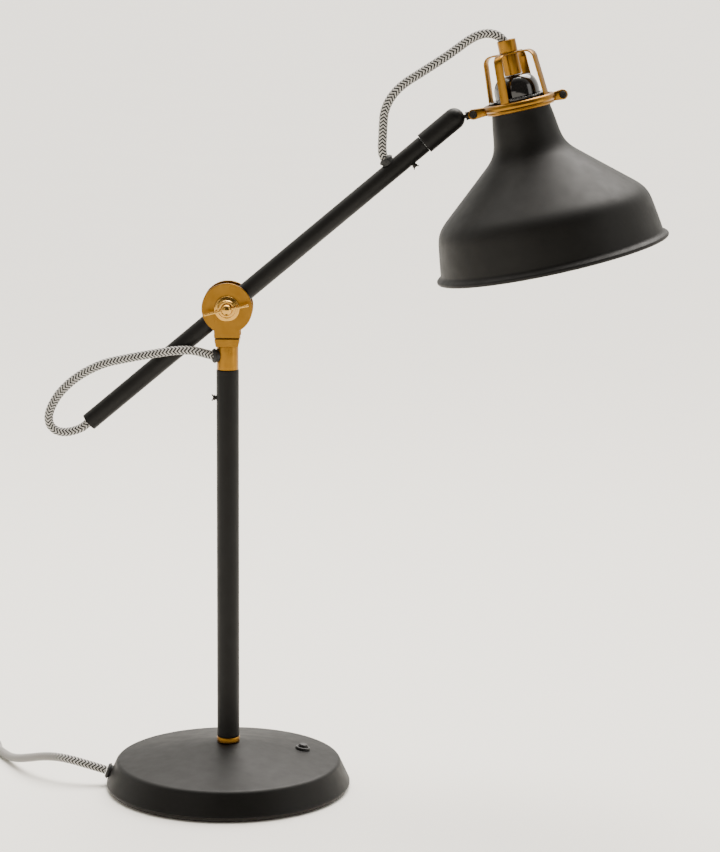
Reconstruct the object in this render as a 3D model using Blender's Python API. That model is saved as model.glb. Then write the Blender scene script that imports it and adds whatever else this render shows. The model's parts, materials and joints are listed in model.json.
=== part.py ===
"""Swing arm desk lamp: weighted base, post, fork pivot, tilting arm and a spun steel shade on a ball joint.

Row frame: origin on the resting surface under the post, +X towards the shade, +Z up. Metres.
"""

import math

import bmesh
import bpy
import numpy as np
from mathutils import Matrix, Vector

MM = 0.001

# Fits
GAP = 0.3 * MM  # between faces that meet
RUNNING = 0.35 * MM  # between pieces that turn on each other

# Base
BASE_R = 82.7 * MM
SHOULDER_R = BASE_R - 5.8 * MM
SHOULDER_Z = 19.6 * MM
BASE_TOP_Z = 31.0 * MM
COVER_WALL = 1.0 * MM
SKIRT_Z = 2.9 * MM
PAD_R = BASE_R - 4.8 * MM
PAD_T = 1.0 * MM
PLATE_T = 1.3 * MM
BALLAST_R = BASE_R - 9.8 * MM
BALLAST_TOP_Z = 18.0 * MM
BALLAST_RECESS_Z = 11.0 * MM
STUD_R = 4.7 * MM
SWITCH_XY = (50.5 * MM, 7.5 * MM)
SWITCH_BODY_R = 5.0 * MM
BUTTON_R = 3.1 * MM
BUTTON_TRAVEL = 1.5 * MM
BASE_GROMMET_Z = 9.5 * MM

# Post and ferrule
FOOT_RING_R = 7.8 * MM
FOOT_RING_H = 3.8 * MM
POST_R = 7.5 * MM
POST_WALL = 1.0 * MM
POST_TOP_Z = 286.8 * MM
FERRULE_R = 7.2 * MM
FERRULE_BORE_R = 5.2 * MM
FERRULE_H = 16.2 * MM
FERRULE_GROMMET_TURN = math.pi + math.radians(14)  # towards the rear loop
POST_SCREW_DROP = 18.8 * MM

# Fork
BLOCK_H = 5.3 * MM
BLOCK_HALF_W = (7.4 * MM, 8.2 * MM)  # bottom, top
LEDGE = 1.2 * MM
DISC_R = 16.8 * MM
DISC_T = 1.6 * MM
NECK_HALF_W = 8.6 * MM
PIVOT_RISE = 20.1 * MM  # above the block's top
WASHER_T = 0.8 * MM
WASHER_R = 9.0 * MM
BOLT_R = 2.0 * MM
CUP_R = 8.5 * MM
WING_SPAN = 30.0 * MM
WING_ANGLE = math.radians(12.7)

# Arm, measured from the pivot along the arm
ARM_ANGLE = math.radians(40.1)
ARM_R = 5.9 * MM
ARM_WALL = 0.8 * MM
ARM_TAIL = -121.0 * MM
ARM_GROMMET_AT = 142.5 * MM
ARM_SCREW_AT = 154.7 * MM
SLEEVE_START = 168.6 * MM
SLEEVE_R = 7.15 * MM
TUBE_END = 180.0 * MM
BALL_AT = 193.8 * MM
BALL_R = 4.6 * MM

# Head, measured from the rim plane along the head's axis
HEAD_TILT = math.radians(13.1)
BALL_OFFSET = 43.8 * MM
RING_S = 105.0 * MM
RING_H = 6.6 * MM
NECK_R = 19.3 * MM
RING_BORE_R = NECK_R + 1.6 * MM
RING_R = RING_BORE_R + 3.3 * MM
LEFT_SCREW = RING_BORE_R + 10.2 * MM
RIGHT_SCREW = RING_BORE_R + 7.8 * MM
EAR_R = 3.3 * MM
EAR_T = 1.7 * MM
LINK_T = 2.0 * MM
SHADE_R = 77.9 * MM
SHADE_WALL = 0.8 * MM
NECK_TOP_S = 108.6 * MM
CAP_R = NECK_R - 0.4 * MM
CAP_T = 1.2 * MM
DOME_R = 14.7 * MM
DOME_S = 110.3 * MM
DOME_TOP_S = 124.3 * MM
HUB_S = 138.1 * MM
STRAP_T = 1.0 * MM
STRAP_W = 5.8 * MM
STRAP_TOP_R = NECK_R - 0.7 * MM
STRAP_FOOT_R = NECK_R + 1.3 * MM
CROSS_TURN = math.radians(29.5)
STEM_R = 5.7 * MM
STEM_COLLAR_R = 6.1 * MM
STEM_TOP_S = 147.4 * MM

# Screws and grommets
SCREW_R = 1.5 * MM
SCREW_HEAD_R = 2.55 * MM
GROMMET_R = 5.4 * MM
GROMMET_T = 1.5 * MM

# Cords
CORD_R = 3.0 * MM
LEAD_R = 1.3 * MM
COIL_XY = (-216.0 * MM, 74.0 * MM)
COIL_MIDDLE_R = 33.0 * MM
COIL_WIDTH = 24.0 * MM  # four turns side by side
COIL_HEIGHT = 12.0 * MM  # two layers
TIE_T = 1.0 * MM
TIE_W = 5.0 * MM
PLUG_XY = (-244.0 * MM, 131.0 * MM)

PLATE_Z = PAD_T + GAP
COVER_FLOOR_Z = PLATE_Z + PLATE_T + GAP
POST_FOOT_Z = BASE_TOP_Z + GAP + FOOT_RING_H + GAP
FERRULE_TOP_Z = POST_TOP_Z + FERRULE_H
BLOCK_Z = FERRULE_TOP_Z + GAP
BLOCK_TOP_Z = BLOCK_Z + BLOCK_H
PIVOT = Vector((0, 0, BLOCK_TOP_Z + PIVOT_RISE))
ARM_DIR = Vector((math.cos(ARM_ANGLE), 0, math.sin(ARM_ANGLE)))
BALL = PIVOT + ARM_DIR * BALL_AT
PLATE_Y = ARM_R + GAP + WASHER_T + GAP  # inner face of each fork plate
ARM_FRAME = Matrix.Translation(PIVOT) @ Matrix.Rotation(-ARM_ANGLE, 4, "Y")
HEAD_TURN = Matrix.Rotation(-HEAD_TILT, 4, "Y")
HEAD_FRAME = Matrix.Translation(BALL) @ HEAD_TURN @ Matrix.Translation((BALL_OFFSET, 0, -RING_S))
TO_X = Matrix.Rotation(math.pi / 2, 4, "Y")  # turns a piece made along Z to lie along X
TO_FRONT = Matrix.Rotation(math.pi / 2, 4, "X")  # turns +Z to -Y

FINISHES = {
    "black_powder_coat": ((0.012, 0.011, 0.010), 0.55, 0.0),
    "brass": ((0.56, 0.34, 0.11), 0.32, 1.0),
    "black_screw": ((0.010, 0.010, 0.010), 0.4, 0.6),
    "zinc_steel": ((0.55, 0.55, 0.56), 0.35, 1.0),
    "cast_iron": ((0.06, 0.06, 0.06), 0.7, 0.5),
    "black_rubber": ((0.012, 0.012, 0.012), 0.7, 0.0),
    "black_plastic": ((0.014, 0.014, 0.014), 0.4, 0.0),
    "bakelite": ((0.008, 0.008, 0.008), 0.12, 0.0),
    "felt": ((0.03, 0.03, 0.03), 0.95, 0.0),
    "nylon": ((0.75, 0.74, 0.70), 0.5, 0.0),
    "white_glass": ((0.85, 0.84, 0.80), 0.2, 0.0),
    "textile_cord": ((0.25, 0.25, 0.25), 0.9, 0.0),
}


def clear_scene():
    for obj in list(bpy.data.objects):
        bpy.data.objects.remove(obj, do_unlink=True)


def material(name):
    made = bpy.data.materials.get(name)
    if made:
        return made
    colour, roughness, metallic = FINISHES[name]
    made = bpy.data.materials.new(name)
    made.use_nodes = True
    shader = made.node_tree.nodes["Principled BSDF"]
    shader.inputs["Base Color"].default_value = (*colour, 1)
    shader.inputs["Roughness"].default_value = roughness
    shader.inputs["Metallic"].default_value = metallic
    return made


def add_mesh(name, bm, finish, place=Matrix.Identity(4)):
    """Makes an object of a bmesh, its origin at place."""
    bmesh.ops.remove_doubles(bm, verts=bm.verts, dist=1e-7)
    bmesh.ops.recalc_face_normals(bm, faces=bm.faces)
    mesh = bpy.data.meshes.new(name)
    bm.to_mesh(mesh)
    bm.free()
    mesh.shade_smooth()
    mesh.set_sharp_from_angle(angle=math.radians(35))
    mesh.materials.append(material(finish))
    obj = bpy.data.objects.new(name, mesh)
    bpy.context.scene.collection.objects.link(obj)
    obj.matrix_world = place
    return obj


def turned(name, outline, finish, place=Matrix.Identity(4), sides=32, ring=False):
    """Turns an outline of (radius, height) points about Z. A ring's outline closes on itself."""
    bm = bmesh.new()
    angles = np.linspace(0, 2 * math.pi, sides, endpoint=False)
    rows = []
    for radius, height in outline:
        if radius < 1e-9:
            rows.append([bm.verts.new((0, 0, height))] * sides)
        else:
            rows.append([bm.verts.new((radius * math.cos(a), radius * math.sin(a), height)) for a in angles])
    pairs = list(zip(rows, rows[1:]))
    if ring:
        pairs.append((rows[-1], rows[0]))
    for low, high in pairs:
        for i in range(sides):
            j = (i + 1) % sides
            corners = list(dict.fromkeys((low[i], low[j], high[j], high[i])))
            if len(corners) > 2:
                bm.faces.new(corners)
    return add_mesh(name, bm, finish, place)


def rod(name, radius, low, high, finish, place=Matrix.Identity(4), sides=24, bore=0.0):
    if bore:
        outline = [(bore, low), (radius, low), (radius, high), (bore, high)]
        return turned(name, outline, finish, place, sides, ring=True)
    return turned(name, [(0, low), (radius, low), (radius, high), (0, high)], finish, place, sides)


def prism(name, outline, low, high, finish, place=Matrix.Identity(4)):
    """Extrudes a flat (x, y) outline from z low to z high."""
    bm = bmesh.new()
    face = bm.faces.new([bm.verts.new((x, y, low)) for x, y in outline])
    moved = bmesh.ops.extrude_face_region(bm, geom=[face])["geom"]
    bmesh.ops.translate(
        bm, verts=[v for v in moved if isinstance(v, bmesh.types.BMVert)], vec=(0, 0, high - low),
    )
    return add_mesh(name, bm, finish, place)


def block(name, low, high, finish, place=Matrix.Identity(4)):
    outline = [(low[0], low[1]), (high[0], low[1]), (high[0], high[1]), (low[0], high[1])]
    return prism(name, outline, low[2], high[2], finish, place)


def arc(centre, radius, start, end, steps):
    """(x, y) points on an arc, the angles in degrees."""
    turns = np.radians(np.linspace(start, end, steps + 1))
    return [(centre[0] + radius * math.cos(t), centre[1] + radius * math.sin(t)) for t in turns]


def helper(obj):
    obj.hide_render = True
    obj.display_type = "WIRE"
    return obj


def combine(obj, other, operation):
    modifier = obj.modifiers.new(other.name, "BOOLEAN")
    modifier.operation = operation
    modifier.object = helper(other)
    modifier.solver = "EXACT"
    return obj


def cut(obj, other):
    return combine(obj, other, "DIFFERENCE")


def weld_on(obj, other):
    return combine(obj, other, "UNION")


def hexagon(across):
    radius = across / math.sqrt(3)
    return arc((0, 0), radius, 0, 300, 5)


def smooth_route(points, spacing):
    """Points every spacing along a smooth curve through the route's own points."""
    points = np.array(points, float)
    padded = np.vstack([2 * points[0] - points[1], points, 2 * points[-1] - points[-2]])
    steps = np.linspace(0, 1, 24, endpoint=False)[:, None]
    pieces = []
    for a, b, c, d in zip(padded, padded[1:], padded[2:], padded[3:]):
        pieces.append(
            0.5 * (2 * b + (c - a) * steps + (2 * a - 5 * b + 4 * c - d) * steps**2
                   + (3 * b - a - 3 * c + d) * steps**3)
        )
    dense = np.vstack([*pieces, points[-1:]])
    along = np.concatenate([[0], np.cumsum(np.linalg.norm(np.diff(dense, axis=0), axis=1))])
    count = max(2, round(along[-1] / spacing) + 1)
    wanted = np.linspace(0, along[-1], count)
    return np.stack([np.interp(wanted, along, dense[:, i]) for i in range(3)], axis=1)


def cord(name, points, radius, finish="textile_cord", resolution=2, spacing=2.5):
    curve = bpy.data.curves.new(name, "CURVE")
    curve.dimensions = "3D"
    curve.bevel_depth = radius
    curve.bevel_resolution = resolution
    curve.use_fill_caps = True
    route = smooth_route(points, spacing * 2 * radius)
    spline = curve.splines.new("POLY")
    spline.points.add(len(route) - 1)
    for point, place in zip(spline.points, route):
        point.co = (*place, 1)
    curve.materials.append(material(finish))
    obj = bpy.data.objects.new(name, curve)
    bpy.context.scene.collection.objects.link(obj)
    return obj


def cross_screw(name, head_r, shank_r, length, place, finish="black_screw"):
    """A pan head screw with a cross slot, its head's face at z 0 and its shank down -Z."""
    head_h = 0.65 * head_r
    outline = [(0, -head_h - length), (shank_r, -head_h - length), (shank_r, -head_h), (head_r, -head_h)]
    outline += [(head_r, -0.35 * head_h), (0.75 * head_r, 0), (0, 0)]
    screw = turned(name, outline, finish, place, sides=20)
    half = 0.62 * head_r
    thin = 0.14 * head_r
    for i, (a, b) in enumerate(((half, thin), (thin, half))):
        slot = block(f"{name}_slot_{i}", (-a, -b, -0.45 * head_h), (a, b, head_h), finish, place)
        cut(screw, slot)
    return screw


def radial(place_z, angle, distance):
    """A frame at an angle round the post, its +Z pointing outwards."""
    return (
        Matrix.Translation((0, 0, place_z)) @ Matrix.Rotation(angle, 4, "Z")
        @ Matrix.Translation((distance, 0, 0)) @ TO_X
    )


def grommet(name, place, bore_r=CORD_R + GAP, flange_r=GROMMET_R, neck=0.0):
    """A rubber ring with a rounded flange at z 0 and a neck behind it."""
    outline = [(bore_r, 0), (flange_r, 0), (flange_r, 0.6 * GROMMET_T), (0.85 * flange_r, GROMMET_T)]
    outline += [(bore_r, GROMMET_T)]
    if neck:
        outline = [(bore_r, -neck), (bore_r + 0.8 * MM, -neck), (bore_r + 0.8 * MM, 0), *outline[1:]]
    return turned(name, outline, "black_rubber", place, sides=16, ring=True)


def base():
    rod("base_pad", PAD_R, 0, PAD_T, "felt", sides=48)
    rod("base_plate", BASE_R - 0.8 * MM, PLATE_Z, PLATE_Z + PLATE_T, "zinc_steel", sides=48)
    outer = [(BASE_R, SKIRT_Z), (BASE_R, SKIRT_Z + 1 * MM)]
    corner = 4 * MM  # radius of the soft shoulder
    centre = (SHOULDER_R - corner, SHOULDER_Z - corner)
    outer += arc(centre, corner, 15, 80, 4)
    outer += [(14 * MM, BASE_TOP_Z - 0.8 * MM), (FOOT_RING_R, BASE_TOP_Z), (STUD_R + GAP, BASE_TOP_Z)]
    inner = [(max(r - COVER_WALL, STUD_R + GAP), z - COVER_WALL) for r, z in outer[2:-2]]
    inner = [(STUD_R + GAP, BASE_TOP_Z - COVER_WALL), *reversed(inner), (BASE_R - COVER_WALL, SKIRT_Z)]
    cover = turned("base_cover", outer + inner, "black_powder_coat", sides=40, ring=True)
    x, y = SWITCH_XY
    slope = (BASE_TOP_Z - SHOULDER_Z) / (SHOULDER_R - FOOT_RING_R)
    rim_z = BASE_TOP_Z - slope * (math.hypot(x, y) - FOOT_RING_R) + 0.6 * MM
    at_switch = Matrix.Translation((x, y, rim_z)) @ Matrix.Rotation(math.atan(slope), 4, (-y, x, 0))
    cut(cover, rod("switch_hole", SWITCH_BODY_R + GAP, -6 * MM, 4 * MM, "felt", at_switch))
    wall_r = SHOULDER_R + (BASE_R - SHOULDER_R) * (SHOULDER_Z - BASE_GROMMET_Z) / (SHOULDER_Z - SKIRT_Z)
    lean = math.atan((BASE_R - SHOULDER_R) / (SHOULDER_Z - SKIRT_Z))
    at_wall = radial(BASE_GROMMET_Z, math.pi, wall_r + 0.5 * MM) @ Matrix.Rotation(-lean, 4, "Y")
    cut(cover, rod("grommet_hole", CORD_R + 1.4 * MM, -6 * MM, 4 * MM, "felt", at_wall))
    turned("switch_bezel", [
        (BUTTON_R + RUNNING, -5 * MM), (SWITCH_BODY_R, -5 * MM), (SWITCH_BODY_R, 1 * MM),
        (BUTTON_R + RUNNING, 1 * MM),
    ], "black_plastic", at_switch, sides=20, ring=True)
    cap = [
        (0, -4.5 * MM), (BUTTON_R, -4.5 * MM), (BUTTON_R, 2.4 * MM), (BUTTON_R - 0.5 * MM, 3 * MM),
        (0, 3 * MM),
    ]
    turned("switch_button", cap, "black_plastic", at_switch, sides=20)
    body = [(-8 * MM, -6 * MM, -14 * MM), (8 * MM, 6 * MM, -5 * MM - BUTTON_TRAVEL)]
    block("switch_body", *body, "black_plastic", at_switch)
    grommet("base_grommet", at_wall, neck=2.4 * MM)
    ballast()
    post_foot()


def ballast():
    floor_z = COVER_FLOOR_Z + 1 * MM
    outline = [
        (STUD_R + GAP, BALLAST_RECESS_Z), (15 * MM, BALLAST_RECESS_Z), (15 * MM, floor_z),
        (BALLAST_R, floor_z),
    ]
    outline += [(BALLAST_R, BALLAST_TOP_Z - 5 * MM), (BALLAST_R - 4 * MM, BALLAST_TOP_Z - 1 * MM)]
    outline += [(40 * MM, BALLAST_TOP_Z), (STUD_R + GAP, BALLAST_TOP_Z)]
    weight = turned("ballast", outline, "cast_iron", sides=32, ring=True)
    x, y = SWITCH_XY
    reach = 12 * MM
    cut(weight, block("switch_pocket", (x - reach, y - reach, 0), (x + reach, y + reach, 40 * MM), "felt"))
    cut(weight, block("wiring_pocket", (-90 * MM, -14 * MM, 0), (-40 * MM, 14 * MM, 40 * MM), "felt"))
    block("terminal_block", (-60 * MM, -9 * MM, 5 * MM), (-48 * MM, 9 * MM, 14 * MM), "nylon")
    clamp_z = BASE_GROMMET_Z
    place = Matrix.Translation((11.8 * MM - BASE_R, 0, clamp_z)) @ TO_X
    rod("cord_clamp", CORD_R + 2.5 * MM, -2.5 * MM, 2.5 * MM, "nylon", place, bore=CORD_R + GAP)


def post_foot():
    turned("foot_ring", [
        (STUD_R + GAP, BASE_TOP_Z + GAP), (FOOT_RING_R, BASE_TOP_Z + GAP),
        (FOOT_RING_R, BASE_TOP_Z + GAP + FOOT_RING_H), (STUD_R + GAP, BASE_TOP_Z + GAP + FOOT_RING_H),
    ], "brass", sides=28, ring=True)
    inner_r = POST_R - POST_WALL
    stud = [(2.2 * MM, 5.5 * MM), (STUD_R, 5.5 * MM), (STUD_R, POST_FOOT_Z), (inner_r - GAP, POST_FOOT_Z)]
    stud += [(inner_r - GAP, POST_FOOT_Z + 14 * MM), (2.2 * MM, POST_FOOT_Z + 14 * MM)]
    turned("post_stud", stud, "zinc_steel", sides=24, ring=True)
    nut_top = BALLAST_RECESS_Z - GAP
    nut = prism("post_nut", hexagon(15 * MM), nut_top - 5 * MM, nut_top, "zinc_steel")
    cut(nut, rod("nut_bore", STUD_R + GAP, 0, 30 * MM, "felt"))
    tube = rod("post_tube", POST_R, POST_FOOT_Z, POST_TOP_Z, "black_powder_coat", bore=inner_r, sides=32)
    screw_z = POST_TOP_Z - POST_SCREW_DROP
    cut(
        tube,
        rod("post_screw_hole", SCREW_R + GAP, -4 * MM, 4 * MM, "felt", radial(screw_z, math.pi, POST_R)),
    )
    thumb_screw("post_thumb_screw", radial(screw_z, math.pi, POST_R))


def thumb_screw(name, place):
    """A small winged screw that clamps the lead inside a tube; z 0 is the tube's surface."""
    shank = turned(name, [
        (0, -3.4 * MM), (SCREW_R, -3.4 * MM), (SCREW_R, 0.9 * MM), (1.9 * MM, 0.9 * MM),
        (1.9 * MM, 1.7 * MM), (0, 1.7 * MM),
    ], "black_screw", place, sides=16)
    wing = [(-0.7 * MM, 1.2 * MM), (0.7 * MM, 1.2 * MM), (2.2 * MM, 2.6 * MM), (2.0 * MM, 3.4 * MM)]
    wing += [(0.6 * MM, 2.4 * MM), (-0.6 * MM, 2.4 * MM), (-2.0 * MM, 3.4 * MM), (-2.2 * MM, 2.6 * MM)]
    flat = place @ Matrix.Rotation(math.pi / 2, 4, "X")
    weld_on(shank, prism(f"{name}_wings", wing, -0.6 * MM, 0.6 * MM, "black_screw", flat))
    return shank


def ferrule():
    plug_r = POST_R - POST_WALL - GAP
    outline = [
        (FERRULE_BORE_R, POST_TOP_Z - 12 * MM), (plug_r, POST_TOP_Z - 12 * MM), (plug_r, POST_TOP_Z + GAP),
    ]
    outline += [(FERRULE_R, POST_TOP_Z + GAP), (FERRULE_R, FERRULE_TOP_Z), (FERRULE_BORE_R, FERRULE_TOP_Z)]
    tube = turned("ferrule", outline, "brass", sides=32, ring=True)
    at_hole = radial(POST_TOP_Z + 9.6 * MM, FERRULE_GROMMET_TURN, FERRULE_R)
    cut(tube, rod("ferrule_hole", CORD_R + 1.4 * MM, -4 * MM, 3 * MM, "felt", at_hole))
    grommet("ferrule_grommet", at_hole @ Matrix.Translation((0, 0, 0.9 * MM)), neck=2.6 * MM)


def fork():
    low, high = BLOCK_HALF_W
    depth = PLATE_Y + DISC_T + LEDGE
    outline = [(-low, BLOCK_Z), (low, BLOCK_Z), (high, BLOCK_TOP_Z - 1.4 * MM), (high, BLOCK_TOP_Z)]
    outline += [(-high, BLOCK_TOP_Z), (-high, BLOCK_TOP_Z - 1.4 * MM)]
    prism("fork_block", outline, -depth, depth, "brass", TO_FRONT)
    neck = math.degrees(math.asin(NECK_HALF_W / DISC_R))
    disc = arc((0, PIVOT.z), DISC_R, -90 + neck, 270 - neck, 40)
    disc += [(-NECK_HALF_W, BLOCK_TOP_Z + GAP), (NECK_HALF_W, BLOCK_TOP_Z + GAP)]
    at_pivot = Matrix.Translation(PIVOT) @ TO_FRONT
    for name, side in (("fork_plate_front", 1), ("fork_plate_rear", -1)):
        near, far = sorted((side * PLATE_Y, side * (PLATE_Y + DISC_T)))
        plate = prism(name, disc, near, far, "brass", TO_FRONT)
        cut(plate, rod(f"{name}_hole", BOLT_R + RUNNING, -20 * MM, 20 * MM, "felt", at_pivot))
    for name, side in (("friction_washer_front", 1), ("friction_washer_rear", -1)):
        near, far = sorted((side * (ARM_R + GAP), side * (ARM_R + GAP + WASHER_T)))
        rod(name, WASHER_R, near, far, "nylon", at_pivot, bore=BOLT_R + RUNNING)
    face = PLATE_Y + DISC_T + GAP
    tip = face + 9.5 * MM
    head = [(0, -face - 3 * MM), (4.2 * MM, -face - 3 * MM), (5 * MM, -face - 1.8 * MM), (5 * MM, -face)]
    head += [(BOLT_R, -face), (BOLT_R, tip - 1.6 * MM), (0, tip - 1.6 * MM)]
    turned("pivot_bolt", head, "brass", at_pivot, sides=24)
    cup = [
        (BOLT_R + RUNNING, face), (CUP_R, face), (CUP_R, face + 1.2 * MM),
        (CUP_R - 0.8 * MM, face + 1.8 * MM),
    ]
    cup += [(6.1 * MM, face + 2.0 * MM), (5.3 * MM, face + 3.2 * MM), (BOLT_R + RUNNING, face + 3.2 * MM)]
    turned("cup_washer", cup, "brass", at_pivot, sides=28, ring=True)
    wing_nut(at_pivot, face + 3.5 * MM)


def wing_nut(at_pivot, foot):
    """A domed boss with a thin bar across it, turned by hand to clamp the arm."""
    turn = at_pivot @ Matrix.Rotation(WING_ANGLE, 4, "Z") @ Matrix.Translation((0, 0, foot))
    bore = BOLT_R + RUNNING
    boss = [
        (bore, 0), (4 * MM, 0), (4 * MM, 2.4 * MM), (3.4 * MM, 4.6 * MM), (2 * MM, 5.9 * MM), (0, 6.4 * MM),
    ]
    boss += [(0, 5.2 * MM), (bore, 5.2 * MM)]
    nut = turned("wing_nut", boss, "brass", turn, sides=24, ring=True)
    half = WING_SPAN / 2
    bar = [
        (3 * MM, 2.2 * MM), (half - 1.6 * MM, 3.6 * MM), (half, 4.4 * MM), (half, 6.0 * MM),
        (half - 2.4 * MM, 6.2 * MM),
    ]
    bar += [(3 * MM, 4.4 * MM)]
    flat = turn @ Matrix.Rotation(math.pi / 2, 4, "X")
    for side in (1, -1):
        outline = [(side * x, y) for x, y in bar]
        weld_on(nut, prism(f"wing_{side}", outline, -0.7 * MM, 0.7 * MM, "brass", flat))
    return nut


def along_arm(distance, turn=0.0):
    """A frame on the arm's surface, its +Z pointing out of the arm's upper side, turned round the arm."""
    turned_there = Matrix.Translation((distance, 0, 0)) @ Matrix.Rotation(turn, 4, "X")
    return ARM_FRAME @ turned_there @ Matrix.Translation((0, 0, ARM_R))


def arm():
    along = ARM_FRAME @ TO_X
    tube = rod("arm_tube", ARM_R, ARM_TAIL, TUBE_END, "black_powder_coat", along, bore=ARM_R - ARM_WALL)
    bolt_hole = rod("arm_bolt_hole", BOLT_R + RUNNING, -10 * MM, 10 * MM, "felt", ARM_FRAME @ TO_FRONT)
    cut(tube, bolt_hole)
    at_grommet = along_arm(ARM_GROMMET_AT)
    cut(tube, rod("arm_grommet_hole", CORD_R + 1.4 * MM, -4 * MM, 3 * MM, "felt", at_grommet))
    grommet("arm_grommet", at_grommet @ Matrix.Translation((0, 0, 1.1 * MM)), neck=2.2 * MM)
    at_screw = along_arm(ARM_SCREW_AT, math.pi)
    cut(tube, rod("arm_screw_hole", SCREW_R + GAP, -4 * MM, 3 * MM, "felt", at_screw))
    thumb_screw("arm_thumb_screw", at_screw)
    inner_r = ARM_R - ARM_WALL - GAP
    rod(
        "tail_bush", inner_r, ARM_TAIL + 0.5 * MM, ARM_TAIL + 9 * MM, "black_plastic", along,
        bore=CORD_R + GAP,
    )
    lead = [
        (ARM_TAIL + 11 * MM, 0), (-60 * MM, -0.6 * MM), (-25 * MM, 3.2 * MM), (-8 * MM, 3.65 * MM),
        (8 * MM, 3.65 * MM),
    ]
    lead += [
        (25 * MM, 3.2 * MM), (60 * MM, -0.6 * MM), (110 * MM, -1 * MM), (ARM_GROMMET_AT - 8 * MM, -1 * MM),
    ]
    cord("arm_lead", [ARM_FRAME @ Vector((x, 0, z)) for x, z in lead], LEAD_R, "black_rubber")
    spigot_r = inner_r
    flange = SLEEVE_R - 1.9 * MM
    rod_outline = [(0, 160 * MM), (spigot_r, 160 * MM), (spigot_r, TUBE_END + GAP), (flange, TUBE_END + GAP)]
    rod_outline += [(flange, TUBE_END + 3 * MM), (0, TUBE_END + 3 * MM)]
    turned("swivel_spigot", rod_outline, "zinc_steel", along, sides=24)
    sleeve()


def sleeve():
    """The swivel sleeve: a tube with a round nose over the ball, slotted so the link can swing down."""
    along = ARM_FRAME @ TO_X
    wide = ARM_R + RUNNING
    narrow = BALL_R + RUNNING
    step = TUBE_END + 3 * MM + GAP
    from_side = np.radians(np.linspace(90, 0, 9))
    nose = [(SLEEVE_R * math.sin(t), BALL_AT + SLEEVE_R * math.cos(t)) for t in from_side]
    nose[-1] = (0, BALL_AT + SLEEVE_R)
    from_tip = np.radians(np.linspace(0, 90, 7))
    hollow = [(narrow * math.sin(t), BALL_AT + narrow * math.cos(t)) for t in from_tip]
    hollow[0] = (0, BALL_AT + narrow)
    outline = [(SLEEVE_R, SLEEVE_START), *nose, *hollow, (narrow, step), (wide, step), (wide, SLEEVE_START)]
    shell = turned("swivel_sleeve", outline, "black_powder_coat", along, sides=24, ring=True)
    slot_w = LINK_T / 2 + 0.5 * MM
    start, end = math.radians(5), math.radians(-66)
    reach = 14 * MM
    swing = arc((0, 0), reach, math.degrees(end), math.degrees(start), 8)
    wedge = [(0, 0), *swing]
    flat = ARM_FRAME @ Matrix.Translation((BALL_AT, 0, 0)) @ TO_FRONT
    slot = prism("nose_slot", wedge, -slot_w, slot_w, "felt", flat)
    cut(shell, slot)
    side_w = 1.9 * MM
    for i, angle in enumerate((start, end)):
        place = flat @ Matrix.Rotation(angle, 4, "Z")
        cut(shell, block(f"nose_slot_end_{i}", (0, -side_w, -slot_w), (reach, side_w, slot_w), "felt", place))
    seat = [
        (0, step + GAP), (narrow - GAP, step + GAP), (narrow - GAP, BALL_AT - BALL_R - GAP),
        (0, BALL_AT - BALL_R - GAP),
    ]
    turned("ball_seat", seat, "nylon", along, sides=20)


def in_head(x, s, y=0.0):
    return HEAD_FRAME @ Matrix.Translation((x, y, s))


def ball_stud():
    along = in_head(-BALL_OFFSET, RING_S) @ TO_X
    neck_r = 0.8 * MM + LINK_T / 4
    reach = SLEEVE_R + 0.6 * MM
    ball = [(BALL_R * math.sin(t), BALL_R * math.cos(t)) for t in np.radians(np.linspace(180, 20, 8))]
    ball[0] = (0, -BALL_R)
    outline = [
        *ball, (neck_r, BALL_R + 0.2 * MM), (neck_r, reach), (2.8 * MM, reach), (2.8 * MM, reach + 1.2 * MM),
    ]
    outline += [(0, reach + 1.2 * MM)]
    stud = turned("ball_stud", outline, "black_screw", along, sides=16)
    tab_start = reach + 1 * MM - BALL_OFFSET
    half = EAR_R - 0.8 * MM
    at_screw = in_head(-LEFT_SCREW, RING_S) @ TO_FRONT
    tab = arc((0, 0), half, -90, 90, 8) + [(tab_start + LEFT_SCREW, half), (tab_start + LEFT_SCREW, -half)]
    weld_on(stud, prism("link_tab", tab, -LINK_T / 2, LINK_T / 2, "black_screw", at_screw))
    cut(stud, rod("link_hole", SCREW_R + GAP, -5 * MM, 5 * MM, "felt", at_screw))


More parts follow.
